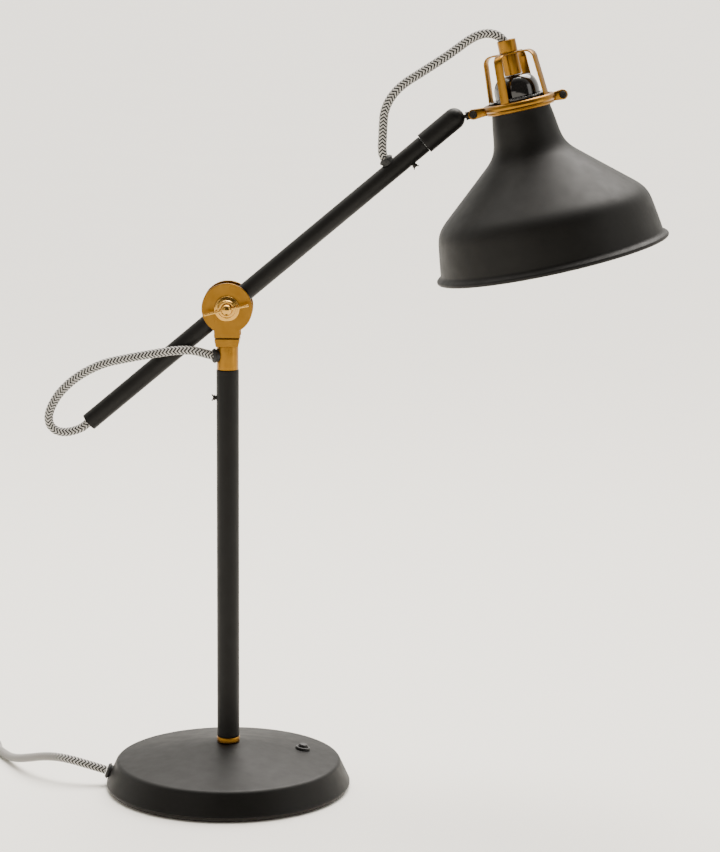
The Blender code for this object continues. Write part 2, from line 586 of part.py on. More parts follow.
def collar():
    half = RING_H / 2
    section = [(0, -half), (1.5 * MM, -half), (2.1 * MM, -half + 1.1 * MM), (1.8 * MM, -half + 1.7 * MM)]
    section += [(RING_R - RING_BORE_R - 0.2 * MM, -0.4 * MM), (RING_R - RING_BORE_R, 1 * MM)]
    section += [(2.5 * MM, half - 0.6 * MM), (1.3 * MM, half), (0, half)]
    outline = [(RING_BORE_R + r, z) for r, z in section]
    split = LINK_T / 2 + GAP
    middle = in_head(0, RING_S)
    for name, side in (("collar_front", -1), ("collar_rear", 1)):
        ring = turned(name, outline, "brass", middle, sides=32, ring=True)
        near, far = sorted((-side * 40 * MM, side * split))
        cut(ring, block(f"{name}_split", (-50 * MM, near, -20 * MM), (50 * MM, far, 20 * MM), "felt", middle))
        for ear, at, way in (("left", LEFT_SCREW, -1), ("right", RIGHT_SCREW, 1)):
            place = in_head(way * at, RING_S) @ TO_FRONT
            root_x = -way * (at - RING_BORE_R - 1.2 * MM)
            turn = (90, 270) if way < 0 else (-90, 90)
            tab = arc((0, 0), EAR_R, *turn, 8)
            tab += [(root_x, -0.8 * EAR_R), (root_x, 0.8 * EAR_R)] if way < 0 else [
                (root_x, 0.8 * EAR_R), (root_x, -0.8 * EAR_R),
            ]
            low, high = sorted((-side * split, -side * (split + EAR_T)))
            weld_on(ring, prism(f"{name}_{ear}_ear", tab, low, high, "brass", place))
            cut(ring, rod(f"{name}_{ear}_hole", SCREW_R + GAP, -9 * MM, 9 * MM, "felt", place))
    face = split + EAR_T
    head_h = 0.65 * SCREW_HEAD_R
    for side, x in (("left", -LEFT_SCREW), ("right", RIGHT_SCREW)):
        place = in_head(x, RING_S) @ TO_FRONT @ Matrix.Translation((0, 0, face + GAP + head_h))
        cross_screw(f"collar_screw_{side}", SCREW_HEAD_R, SCREW_R, 2 * face + 3.6 * MM, place)
        back = in_head(x, RING_S) @ TO_FRONT
        nut = prism(
            f"collar_nut_{side}", hexagon(5.5 * MM), -face - GAP - 2.4 * MM, -face - GAP, "zinc_steel", back,
        )
        cut(nut, rod(f"collar_nut_{side}_bore", SCREW_R + GAP, -9 * MM, 9 * MM, "felt", back))


def inward(outline, distance):
    """The outline moved to its inner side by a wall's thickness."""
    points = np.array(outline)
    along = np.gradient(points, axis=0)
    along /= np.linalg.norm(along, axis=1)[:, None]
    normals = np.stack([-along[:, 1], along[:, 0]], axis=1)
    return [tuple(p) for p in points + normals * distance]


def shade():
    """Spun steel shade: rolled rim, skirt, round shoulder, cone, and a neck that the collar grips."""
    wall_r = SHADE_R - 3.2 * MM
    skirt = [
        (wall_r, 5.4 * MM), (wall_r - 1.6 * MM, 17 * MM), (wall_r - 3.4 * MM, 28 * MM),
        (wall_r - 4.6 * MM, 32 * MM),
    ]
    skirt += [(wall_r - 7.6 * MM, 36.4 * MM), (wall_r - 12.2 * MM, 40.7 * MM)]
    cone = [(NECK_R + 23.4 * MM, 57.8 * MM), (NECK_R + 13.6 * MM, 66.4 * MM), (NECK_R + 9.0 * MM, 70.4 * MM)]
    neck = [(NECK_R + 5.6 * MM, 74.6 * MM), (NECK_R + 3.4 * MM, 80 * MM), (NECK_R + 2.4 * MM, 86 * MM)]
    neck += [(NECK_R + 1.3 * MM, 94 * MM), (NECK_R, 101.2 * MM), (NECK_R, NECK_TOP_S)]
    outer = [*skirt, *cone, *neck]
    inner = inward(outer, SHADE_WALL)
    rim = [
        (wall_r - SHADE_WALL, 1 * MM), (SHADE_R - 1 * MM, 0.4 * MM), (SHADE_R, 1.3 * MM),
        (SHADE_R, 2.8 * MM),
    ]
    rim += [(SHADE_R - 1 * MM, 3.7 * MM)]
    turned("shade", [*rim, *outer, *reversed(inner)], "black_powder_coat", HEAD_FRAME, sides=36, ring=True)


def cage_and_stem():
    rod(
        "neck_cap", CAP_R, NECK_TOP_S + GAP, NECK_TOP_S + GAP + CAP_T, "bakelite", HEAD_FRAME, 32,
        DOME_R + GAP,
    )
    stem_neck = STEM_R - 1.3 * MM
    cage = rod("strap_cage", 8 * MM, HUB_S, HUB_S + STRAP_T, "brass", HEAD_FRAME, sides=24)
    bend = 6 * MM
    foot_s = RING_S - RING_H / 2 + 0.8 * MM
    top_s = HUB_S + STRAP_T
    outer = [(6 * MM, top_s), *reversed(arc((STRAP_TOP_R - bend, top_s - bend), bend, 0, 90, 6))]
    outer += [(STRAP_FOOT_R, NECK_TOP_S + 1.5 * MM), (STRAP_FOOT_R, foot_s)]
    inner = [(6 * MM, HUB_S)]
    inner += [*reversed(arc((STRAP_TOP_R - bend, top_s - bend), bend - STRAP_T, 0, 90, 6))]
    inner += [(STRAP_FOOT_R - STRAP_T, NECK_TOP_S + 1.5 * MM), (STRAP_FOOT_R - STRAP_T, foot_s)]
    for i in range(4):
        turn = Matrix.Rotation(i * math.pi / 2 - CROSS_TURN, 4, "Z") @ Matrix.Rotation(math.pi / 2, 4, "X")
        strap = prism(
            f"strap_{i}", [*outer, *reversed(inner)], -STRAP_W / 2, STRAP_W / 2, "brass", HEAD_FRAME @ turn,
        )
        weld_on(cage, strap)
    cut(cage, rod("hub_hole", stem_neck + GAP, HUB_S - 5 * MM, HUB_S + 5 * MM, "felt", HEAD_FRAME))
    bore = CORD_R + 0.4 * MM
    shoulder = HUB_S - GAP
    tube_top = top_s + 2.4 * MM
    stem = [(bore, DOME_TOP_S + GAP), (STEM_R, DOME_TOP_S + GAP), (STEM_R, shoulder), (stem_neck, shoulder)]
    stem += [(stem_neck, tube_top), (bore, tube_top)]
    turned("stem_tube", stem, "brass", HEAD_FRAME, sides=28, ring=True)
    mouth = STEM_COLLAR_R - 0.8 * MM
    turned("stem_collar", [
        (stem_neck + GAP, top_s + GAP), (STEM_COLLAR_R, top_s + GAP), (STEM_COLLAR_R, STEM_TOP_S),
        (mouth, STEM_TOP_S), (mouth, tube_top + GAP), (stem_neck + GAP, tube_top + GAP),
    ], "brass", HEAD_FRAME, sides=28, ring=True)


def lampholder():
    bore = CORD_R + 0.4 * MM
    neck = STEM_R - 0.2 * MM
    side = DOME_S + 3 * MM
    dome = [(bore, DOME_S), (DOME_R, DOME_S)]
    dome += [
        (neck + (DOME_R - neck) * math.cos(t), side + (DOME_TOP_S - side) * math.sin(t))
        for t in np.radians(np.linspace(0, 90, 6))
    ]
    dome += [(bore, DOME_TOP_S)]
    turned("lampholder_dome", dome, "bakelite", HEAD_FRAME, sides=24, ring=True)
    body_r = DOME_R - 1.1 * MM
    socket_r = 7.6 * MM
    low_s = 74 * MM
    body = [
        (0, DOME_S - GAP), (0, 94 * MM), (socket_r, 94 * MM), (socket_r, low_s), (body_r, low_s),
        (body_r, DOME_S - GAP),
    ]
    turned("lampholder_body", body[1:] + body[:1], "bakelite", HEAD_FRAME, sides=28)
    ring_r = NECK_R - SHADE_WALL - 0.6 * MM
    rod("shade_ring", ring_r, 98 * MM, 103 * MM, "bakelite", HEAD_FRAME, 28, body_r + GAP)
    cap_low = 66 * MM
    cap_r = 6.9 * MM
    turned("bulb_cap", [(0, cap_low), (cap_r, cap_low), (cap_r, 88 * MM), (3 * MM, 92 * MM), (0, 92 * MM)],
           "zinc_steel", HEAD_FRAME, sides=24)
    globe_r = 22.5 * MM
    centre_s = 40 * MM
    turns = np.radians(np.linspace(0, 145, 9))
    globe = [(globe_r * math.sin(t), centre_s - globe_r * math.cos(t)) for t in turns]
    globe[0] = (0, centre_s - globe_r)
    globe += [(8.4 * MM, cap_low - 3 * MM), (cap_r, cap_low - GAP), (0, cap_low - GAP)]
    turned("bulb_glass", globe, "white_glass", HEAD_FRAME, sides=20)


REAR_LOOP = [
    (-9.9, -2.5, 296.6), (-13.9, -3.8, 297.9), (-23.6, -7.6, 300.6), (-35.6, -9.8, 300.6),
    (-50.5, -10.0, 298.3),
    (-65.3, -9.6, 295.5), (-80.1, -8.6, 292.0), (-92.1, -7.0, 286.6), (-102.3, -5.4, 279.8),
    (-110.7, -4.0, 271.6),
    (-116.2, -2.8, 263.2), (-118.9, -1.8, 255.7), (-118.3, -1.0, 249.4), (-114.4, -0.5, 245.3),
    (-108.9, -0.2, 244.0),
    (-102.6, 0, 245.0), (-97.0, 0, 247.3),
]
FRONT_LOOP = [
    (103.1, 0, 427.7), (101.9, 0, 430.0), (101.4, 0, 435.0), (101.7, 0, 442.7), (102.0, 0, 450.3),
    (102.7, 0, 457.2), (104.9, 0, 463.5),
    (108.2, 0, 468.8), (112.6, 0, 473.7), (118.2, 0, 478.1), (125.1, 0, 482.5), (137.7, 0, 490.7),
]
FRONT_LOOP_TOP = [
    (137.7, 0, 490.7), (144.1, 0, 495.0), (150.4, 0, 499.6), (156.7, 0, 504.2), (163.0, 0, 507.6),
    (169.4, 0, 508.9), (175.0, 0, 507.9), (178.7, 0, 505.5),
]
MAINS_ROUTE = [
    (-83.4, 0, 10.2), (-88.4, 0.3, 11.7), (-98.0, 1.5, 14.2), (-108.0, 4.0, 16.2), (-118.0, 8.5, 16.6),
    (-128.0, 15.5, 14.8), (-138.0, 25.0, 11.0), (-147.5, 37.0, 6.8), (-155.5, 50.0, 4.0), (-162.0, 62.5, 3.2),
    (-167.0, 73.0, 3.1), (-168.2, 82.0, 3.1),
]


def cords():
    tail = ARM_FRAME @ Vector((ARM_TAIL - 0.8 * MM, 0, 0))
    cord("rear_loop_cord", [Vector(p) * MM for p in REAR_LOOP] + [tail], CORD_R, spacing=2)
    split = (Vector(FRONT_LOOP_TOP[1]) - Vector(FRONT_LOOP_TOP[0])).normalized() * GAP
    lower = [Vector(p) * MM for p in FRONT_LOOP]
    upper = [Vector(p) * MM for p in FRONT_LOOP_TOP]
    upper[0] += split
    mouth = [HEAD_FRAME @ Vector((-0.2 * MM, 0, STEM_TOP_S - 1.2 * MM))]
    cord("front_loop_lower", lower, CORD_R, spacing=1.5)
    cord("front_loop_upper", upper + mouth, CORD_R, spacing=1.25)
    x, y = COIL_XY
    beside = COIL_MIDDLE_R + COIL_WIDTH / 2 + CORD_R + 0.5 * MM
    ends = []
    for turn in (20, 75):
        angle = math.radians(turn)
        ends.append(Vector((x + beside * math.cos(angle), y + beside * math.sin(angle), CORD_R + 0.1 * MM)))
    cord("mains_cord", [Vector(p) * MM for p in MAINS_ROUTE] + [ends[0]], CORD_R)
    coil_and_plug(ends[1])


def coil_and_plug(start):
    x, y = COIL_XY
    near, far = COIL_MIDDLE_R - COIL_WIDTH / 2, COIL_MIDDLE_R + COIL_WIDTH / 2
    soft = 2.5 * MM
    outline = [(near, soft), (near + soft, 0), (far - soft, 0), (far, soft), (far, COIL_HEIGHT - soft)]
    outline += [(far - soft, COIL_HEIGHT), (near + soft, COIL_HEIGHT), (near, COIL_HEIGHT - soft)]
    turned("mains_coil", outline, "textile_cord", Matrix.Translation((x, y, 0)), sides=24, ring=True)
    tie_place = Matrix.Translation((x - COIL_MIDDLE_R, y, 0)) @ TO_FRONT
    inside = COIL_WIDTH / 2 + 2 * GAP
    roof = COIL_HEIGHT + 2 * GAP
    outer = (inside + TIE_T, roof + TIE_T, TIE_W / 2)
    loop = block("coil_tie", (-inside - TIE_T, 0, -TIE_W / 2), outer, "black_rubber", tie_place)
    cut(loop, block("tie_inside", (-inside, -TIE_W, -TIE_W), (inside, roof, TIE_W), "felt", tie_place))
    px, py = PLUG_XY
    plug_z = 7 * MM
    entry = Vector((px + 2.5 * MM, py - 0.6 * MM, CORD_R + 1.2 * MM))
    tail = [Vector((-214.0, 123.6, 3.1)) * MM, Vector((-227.0, 127.0, 3.2)) * MM, entry]
    cord("mains_tail", [start, *tail], CORD_R)
    outline = [
        (-2 * MM, -4.3 * MM), (-14 * MM, -5.5 * MM), (-22 * MM, -12 * MM), (-36 * MM, -17 * MM),
        (-40 * MM, -17 * MM),
    ]
    outline += [(a, -b) for a, b in reversed(outline)]
    place = Matrix.Translation((px, py, 0))
    prism("plug_body", outline, 0, 2 * plug_z, "black_plastic", place)
    for name, side in (("plug_pin_a", -1), ("plug_pin_b", 1)):
        pin = Matrix.Translation((px - 40.3 * MM, py + side * 9.3 * MM, plug_z)) @ TO_X
        turned(
            name, [(0, -19 * MM), (1.4 * MM, -19 * MM), (2 * MM, -18 * MM), (2 * MM, 0), (0, 0)], "brass",
            pin, sides=16,
        )


def build():
    clear_scene()
    base()
    ferrule()
    fork()
    arm()
    ball_stud()
    collar()
    shade()
    cage_and_stem()
    lampholder()
    cords()


build()
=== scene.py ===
import json
import math

import bmesh
import bpy
import numpy as np
from mathutils import Matrix, Vector


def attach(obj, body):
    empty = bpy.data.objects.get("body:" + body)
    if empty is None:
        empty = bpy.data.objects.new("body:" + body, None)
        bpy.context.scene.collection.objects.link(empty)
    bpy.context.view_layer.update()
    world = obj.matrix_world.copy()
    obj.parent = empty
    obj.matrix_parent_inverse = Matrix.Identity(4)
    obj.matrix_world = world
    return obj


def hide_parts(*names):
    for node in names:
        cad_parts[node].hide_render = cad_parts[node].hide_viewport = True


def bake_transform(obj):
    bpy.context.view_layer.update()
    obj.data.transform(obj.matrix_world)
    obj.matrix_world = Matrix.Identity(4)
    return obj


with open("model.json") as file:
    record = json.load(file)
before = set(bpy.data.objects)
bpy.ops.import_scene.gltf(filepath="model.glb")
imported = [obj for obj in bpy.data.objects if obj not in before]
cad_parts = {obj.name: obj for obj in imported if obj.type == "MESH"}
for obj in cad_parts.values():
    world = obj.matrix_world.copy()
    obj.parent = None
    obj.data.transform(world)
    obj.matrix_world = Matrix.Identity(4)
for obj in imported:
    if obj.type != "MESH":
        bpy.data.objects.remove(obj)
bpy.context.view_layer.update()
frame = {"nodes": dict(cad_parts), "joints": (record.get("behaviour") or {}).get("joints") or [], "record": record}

nodes = frame["nodes"]
joints = {j["name"]: j for j in frame["joints"]}
mm = 0.001

# The lamp's two slanted frames, taken from its joints
pivot = Vector(joints["arm_tilt"]["pos_m"])
ball = Vector(joints["head_tilt"]["pos_m"])
armAngle = math.atan2(ball.z - pivot.z, ball.x - pivot.x)
headTilt = math.radians(13.1)
ballOffset = 43.8  # mm, ball to the head's axis
ringHeight = 105.0  # mm, collar's middle above the rim plane
toX = Matrix.Rotation(math.pi / 2, 4, "Y")
toFront = Matrix.Rotation(math.pi / 2, 4, "X")
armFrame = Matrix.Translation(pivot) @ Matrix.Rotation(-armAngle, 4, "Y")
armAlong = armFrame @ toX
headFrame = (Matrix.Translation(ball) @ Matrix.Rotation(-headTilt, 4, "Y")
             @ Matrix.Translation((ballOffset * mm, 0, -ringHeight * mm)))
upright = Matrix.Identity(4)
print("frame loaded:", len(nodes), "nodes")


# Small tools for colours and nodes
def hexColour(code):
    # sRGB hex to linear
    c = np.array([int(code[i:i + 2], 16) for i in (1, 3, 5)]) / 255
    c = np.where(c <= 0.04045, c / 12.92, ((c + 0.055) / 1.055) ** 2.4)
    return (*[float(v) for v in c], 1.0)


def socketOf(key):
    # "i0" is a node's first input; a socket's name may have _ for its spaces
    return int(key[1:]) if key[0] == "i" and key[1:].isdigit() else key.replace("_", " ")


def addNode(mat, kind, settings=None, **links):
    # one node, its settings by attribute or socket, and what feeds its sockets
    node = mat.node_tree.nodes.new(kind)
    for key, value in (settings or {}).items():
        if hasattr(node, key):
            setattr(node, key, value)
        else:
            node.inputs[socketOf(key)].default_value = value
    feed(mat, node, **links)
    return node


def feed(mat, node, **links):
    for key, source in links.items():
        mat.node_tree.links.new(source, node.inputs[socketOf(key)])


def startMaterial(name, **values):
    mat = bpy.data.materials.new(name)
    mat.use_nodes = True
    shader = mat.node_tree.nodes["Principled BSDF"]
    for key, value in values.items():
        shader.inputs[socketOf(key)].default_value = value
    return mat, shader


def objectCoords(mat):
    return addNode(mat, "ShaderNodeTexCoord").outputs["Object"]


def noiseOf(mat, coords, sizeMm, detail=2.0):
    # noise with features of a real size, in mm
    settings = {"Scale": 1000 / sizeMm, "Detail": detail}
    return addNode(mat, "ShaderNodeTexNoise", settings, Vector=coords).outputs["Fac"]


def ramp(mat, value, low, high, fromMin=0.3, fromMax=0.7):
    # a value between two levels turned into one between low and high
    settings = {"From Min": fromMin, "From Max": fromMax, "To Min": low, "To Max": high}
    return addNode(mat, "ShaderNodeMapRange", settings, Value=value).outputs[0]


def mixColour(mat, factor, a, b):
    node = addNode(mat, "ShaderNodeMix", {"data_type": "RGBA"})
    mat.node_tree.links.new(factor, node.inputs[0])
    for index, colour in ((6, a), (7, b)):
        if isinstance(colour, tuple):
            node.inputs[index].default_value = colour
        else:
            mat.node_tree.links.new(colour, node.inputs[index])
    return node.outputs[2]


def bumpOf(mat, shader, height, distanceMm, strength=1.0):
    node = addNode(mat, "ShaderNodeBump", {"Distance": distanceMm * mm, "Strength": strength}, Height=height)
    feed(mat, shader, Normal=node.outputs[0])


# A long lens a little above the lamp, aimed between the base and the shade; lengths in mm, angles in degrees
cameraView = {"target": (88.1, 0.0, 249.4), "distance": 1807.0, "elevation": 10.0, "roll": 0.38, "lens": 135.6,
              "sensor": 36.0, "nearest": 50.0}


def makeCamera():
    data = bpy.data.cameras.new("camera")
    data.lens = cameraView["lens"]
    data.sensor_fit = "HORIZONTAL"
    data.sensor_width = cameraView["sensor"]
    data.clip_start = cameraView["nearest"] * mm
    obj = bpy.data.objects.new("camera", data)
    bpy.context.scene.collection.objects.link(obj)
    rise = math.radians(cameraView["elevation"])
    back = Vector((0, -math.cos(rise), math.sin(rise)))
    roll = Matrix.Rotation(math.radians(cameraView["roll"]), 4, "Z")
    place = (Vector(cameraView["target"]) + back * cameraView["distance"]) * mm
    obj.matrix_world = Matrix.Translation(place) @ Matrix.Rotation(math.pi / 2 - rise, 4, "X") @ roll
    bpy.context.scene.camera = obj
    print("camera placed")


makeCamera()


# Surfaces from grids of points
def gridMesh(name, points, material, closeRows=False, uv=None, caps=False, sharp=50):
    # points is rows x columns x 3; quads join each point to its neighbours, and the last column to the first;
    # rows of zero size become poles, and caps close both end rows
    rows, columns = points.shape[:2]
    index = np.arange(rows * columns).reshape(rows, columns)
    lower = index if closeRows else index[:-1]
    upper = np.roll(index, -1, axis=0) if closeRows else index[1:]
    corners = [lower, np.roll(lower, -1, axis=1), np.roll(upper, -1, axis=1), upper]
    quads = np.stack(corners, axis=-1).reshape(-1, 4)
    faces = [tuple(q) for q in quads.tolist()]
    if caps:
        faces += [tuple(index[0][::-1].tolist()), tuple(index[-1].tolist())]
    mesh = bpy.data.meshes.new(name)
    mesh.from_pydata(points.reshape(-1, 3).tolist(), [], faces)
    if uv is not None:
        layer = mesh.uv_layers.new(name="UVMap")
        loops = np.zeros(len(mesh.loops), np.int32)
        mesh.loops.foreach_get("vertex_index", loops)
        coords = uv.reshape(-1, 2)[loops]
        # a face that spans the seam has its low corners raised by one turn
        quadLoops = coords[:len(quads) * 4].reshape(-1, 4, 2)
        wrapped = quadLoops[:, :, 1].max(axis=1) - quadLoops[:, :, 1].min(axis=1) > 0.5
        fix = (quadLoops[:, :, 1] < 0.5) & wrapped[:, None]
        quadLoops[:, :, 1] += fix
        coords[:len(quads) * 4] = quadLoops.reshape(-1, 2)
        layer.data.foreach_set("uv", coords.ravel())
    tidyMesh(mesh, sharp)
    return placeMesh(name, mesh, material)


def placeMesh(name, mesh, material):
    mesh.materials.append(material)
    obj = bpy.data.objects.new(name, mesh)
    bpy.context.scene.collection.objects.link(obj)
    return obj


def tidyMesh(mesh, sharp):
    # doubles merged, faces turned outwards, smooth but for edges sharper than an angle in degrees
    bm = bmesh.new()
    bm.from_mesh(mesh)
    bmesh.ops.remove_doubles(bm, verts=bm.verts, dist=1e-6)
    bmesh.ops.dissolve_degenerate(bm, edges=bm.edges, dist=1e-7)
    bmesh.ops.recalc_face_normals(bm, faces=bm.faces)
    bm.to_mesh(mesh)
    bm.free()
    mesh.shade_smooth()
    mesh.set_sharp_from_angle(angle=math.radians(sharp))


def rounded(points, radius, steps=5):
    # each corner of a profile replaced by a quadratic curve that starts and ends one radius from it,
    # or a little under half an edge where that is less
    share = 0.45
    points = [np.array(p, float) for p in points]
    made = [points[0]]
    for before, corner, after in zip(points, points[1:], points[2:]):
        inLength = np.linalg.norm(corner - before)
        outLength = np.linalg.norm(after - corner)
        cutIn = min(radius, share * inLength)
        cutOut = min(radius, share * outLength)
        start = corner + (before - corner) * cutIn / max(inLength, 1e-9)
        end = corner + (after - corner) * cutOut / max(outLength, 1e-9)
        t = np.linspace(0, 1, steps + 1)[:, None]
        made += list((1 - t) ** 2 * start + 2 * t * (1 - t) * corner + t ** 2 * end)
    made.append(points[-1])
    return np.array(made)


def turnedPiece(name, profile, material, place, body=None, stands=None, corner=0.3, segments=96,
                closed=True):
    # a profile of (radius, height) in mm, corners rounded, turned a full circle about the frame's Z: each point
    # is its radius times the cosine and sine of the turn, at its height
    if closed:
        profile = [*profile, profile[0]]
        middle = 0.5 * (np.array(profile[0]) + np.array(profile[1]))
        profile = [tuple(middle), *profile[1:], tuple(middle)]
    line = rounded(profile, corner) if corner else np.array(profile)
    if closed:
        line = line[:-1]
    angle = np.linspace(0, 2 * np.pi, segments, endpoint=False)
    radius, height = line[:, :1], np.repeat(line[:, 1:], segments, 1)
    grid = np.stack([radius * np.cos(angle), radius * np.sin(angle), height], -1)
    obj = gridMesh(name, toWorld(grid * mm, place), material, closeRows=closed)
    return register(obj, body, stands)


def toWorld(points, place):
    m = np.array(place)
    return points @ m[:3, :3].T + m[:3, 3]


def register(obj, body, stands):
    # gives a finished piece its body and hides the CAD nodes it stands for
    if not body:
        return obj
    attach(obj, body)
    if stands:
        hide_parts(*stands)
    return obj


def smoothLine(points, count):
    # Catmull-Rom curve through the points, read at equal distances along it
    points = np.array(points, float)
    padded = np.vstack([2 * points[0] - points[1], points, 2 * points[-1] - points[-2]])
    t = np.linspace(0, 1, 30, endpoint=False)[:, None]
    runs = [0.5 * (2 * b + (c - a) * t + (2 * a - 5 * b + 4 * c - d) * t ** 2 + (3 * b - a - 3 * c + d) * t ** 3)
            for a, b, c, d in zip(padded, padded[1:], padded[2:], padded[3:])]
    dense = np.vstack([*runs, points[-1:]])
    along = np.concatenate([[0], np.cumsum(np.linalg.norm(np.diff(dense, axis=0), axis=1))])
    wanted = np.linspace(0, along[-1], count)
    return np.stack([np.interp(wanted, along, dense[:, i]) for i in range(dense.shape[1])], 1), float(along[-1])


def carriedFrames(line):
    # two directions square to a line, carried along it without twisting: each side is the last one
    # less its part along the line, and the other is the cross product
    tangent = np.gradient(line, axis=0)
    tangent /= np.linalg.norm(tangent, axis=1)[:, None]
    side = np.zeros_like(tangent)
    start = np.cross(tangent[0], (0.0, 1.0, 0.0) if abs(tangent[0][1]) < 0.9 else (1.0, 0.0, 0.0))
    side[0] = start / np.linalg.norm(start)
    for i in range(1, len(line)):
        moved = side[i - 1] - tangent[i] * np.dot(side[i - 1], tangent[i])
        side[i] = moved / np.linalg.norm(moved)
    return side, np.cross(tangent, side)


# Cords: their sizes and their routes, in mm
cordSizes = {
    "radius": 3.0, "step": 1.1, "sides": 24,
    "strands": 8, "lay": 9.4, "proud": 0.12,  # the braid's strands, their turn's length and their height
    "chevron": 2.35, "zigzags": 4, "slant": 1.7,  # the pattern's length, its count round the cord, its slope
}
rearLoop = [
    (-9.0, -2.3, 296.45), (-9.9, -2.5, 296.6), (-13.9, -3.8, 297.9), (-23.6, -7.6, 300.6), (-35.6, -9.8, 300.6),
    (-50.5, -10.0, 298.3), (-65.3, -9.6, 295.5), (-80.1, -8.6, 292.0), (-92.1, -7.0, 286.6), (-102.3, -5.4, 279.8),
    (-110.7, -4.0, 271.6), (-116.2, -2.8, 263.2), (-118.9, -1.8, 255.7), (-118.3, -1.0, 249.4), (-114.4, -0.5, 245.3),
    (-108.9, -0.2, 244.0), (-102.6, 0, 245.0), (-97.0, 0, 247.3),
]
frontLoopLower = [
    (103.4, 0, 426.9), (103.1, 0, 427.7), (101.9, 0, 430.0), (101.4, 0, 435.0), (101.7, 0, 442.7), (102.0, 0, 450.3),
    (102.7, 0, 457.2), (104.9, 0, 463.5), (108.2, 0, 468.8), (112.6, 0, 473.7), (118.2, 0, 478.1), (125.1, 0, 482.5),
    (137.7, 0, 490.7),
]
frontLoopUpper = [
    (137.7, 0, 490.7), (144.1, 0, 495.0), (150.4, 0, 499.6), (156.7, 0, 504.2), (163.0, 0, 507.6),
    (169.4, 0, 508.9), (175.0, 0, 507.9), (178.7, 0, 505.5), (180.6, 0, 502.8),
]
mainsRoute = [
    (-83.4, 0, 10.2), (-88.4, 0.3, 11.7), (-98.0, 1.5, 14.2), (-108.0, 4.0, 16.2), (-118.0, 8.5, 16.6),
    (-128.0, 15.5, 14.8), (-138.0, 25.0, 11.0), (-147.5, 37.0, 6.8), (-155.5, 50.0, 4.0), (-162.0, 62.5, 3.2),
    (-167.0, 73.0, 3.1), (-168.2, 82.0, 3.1), (-172.8, 91.6, 3.1), (-182.2, 102.8, 3.1),
]
coil = {
    "centre": (-216.0, 74.0), "lanes": (42.3, 36.2, 30.1, 24.0), "pitch": 6.0, "floor": 3.05, "start": 62,
    "lower": 0.78, "upper": 0.34, "climb": 0.56, "over": 0.22,  # parts of a turn: where a lane changes, how long
}
tailRoute = [
    (-206.2, 116.2, 8.8), (-212.0, 120.6, 7.2), (-219.0, 124.2, 5.4), (-227.0, 127.2, 4.6), (-236.0, 129.8, 5.4),
    (-243.0, 130.8, 6.8), (-248.0, 131.0, 7.0),
]


def braidedCotton():
    # black and white cotton braided over PVC: matt and fluffy, a zigzag of 2.35 mm that runs round the cord
    mat, shader = startMaterial("braided cotton", Roughness=0.9, Sheen_Weight=0.35, Sheen_Roughness=0.5)
    uv = addNode(mat, "ShaderNodeUVMap", {"uv_map": "UVMap"}).outputs[0]
    split = addNode(mat, "ShaderNodeSeparateXYZ", Vector=uv)

    def maths(operation, first, second=None):
        # a number is set on the node, and another node's output is linked
        settings = {"operation": operation}
        links = {"i0": first}
        if isinstance(second, float):
            settings["i1"] = second
        elif second is not None:
            links["i1"] = second
        return addNode(mat, "ShaderNodeMath", settings, **links).outputs[0]

    wave = maths("PINGPONG", maths("MULTIPLY", split.outputs[1], float(cordSizes["zigzags"])), 0.5)
    along = maths("DIVIDE", split.outputs[0], cordSizes["chevron"])
    stripe = maths("PINGPONG", maths("FRACT", maths("ADD", along, maths("MULTIPLY", wave, cordSizes["slant"]))), 0.5)
    mask = ramp(mat, stripe, 0.0, 1.0, 0.25, 0.32)
    fluff = noiseOf(mat, objectCoords(mat), 0.5)
    white = mixColour(mat, fluff, hexColour("#cfccc6"), hexColour("#b4b1ab"))
    black = mixColour(mat, fluff, hexColour("#0c0c10"), hexColour("#18181c"))
    feed(mat, shader, Base_Color=mixColour(mat, mask, black, white))
    bumpOf(mat, shader, stripe, 0.35, 0.5)
    return mat


cotton = braidedCotton()


def cordTube(name, points):
    # a circle carried along the cord's smooth line: each point is the line's own, plus the radius times the
    # cosine of the turn to one side and its sine upwards; the map holds the length in mm and the turn
    sides, proud = cordSizes["sides"], cordSizes["proud"]
    line, length = smoothLine(points, 1200)
    count = max(20, int(length / cordSizes["step"]))
    line, length = smoothLine(line, count)
    side, up = carriedFrames(line)
    angle = np.linspace(0, 2 * np.pi, sides, endpoint=False)
    # the strands stand slightly proud, crossing over each other along the length
    along = np.linspace(0, length, count)[:, None]
    turned = cordSizes["strands"] * angle[None, :]
    laid = 2 * np.pi * along / cordSizes["lay"]
    radius = cordSizes["radius"] - proud + proud * np.cos(turned + laid) * np.cos(turned - laid)
    around = np.cos(angle)[None, :, None] * side[:, None, :] + np.sin(angle)[None, :, None] * up[:, None, :]
    grid = line[:, None, :] + radius[..., None] * around
    uv = np.stack([np.repeat(along, sides, 1), np.repeat(angle[None, :] / (2 * np.pi), count, 0)], -1)
    obj = gridMesh(name, grid * mm, cotton, uv=uv, caps=True, sharp=80)
    return obj, line * mm, length * mm


def loopCord(name, points, stands):
    # a cord tube in place of its CAD nodes, its place baked into its points
    obj, line, length = cordTube(name, points)
    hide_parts(*stands)
    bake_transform(obj)


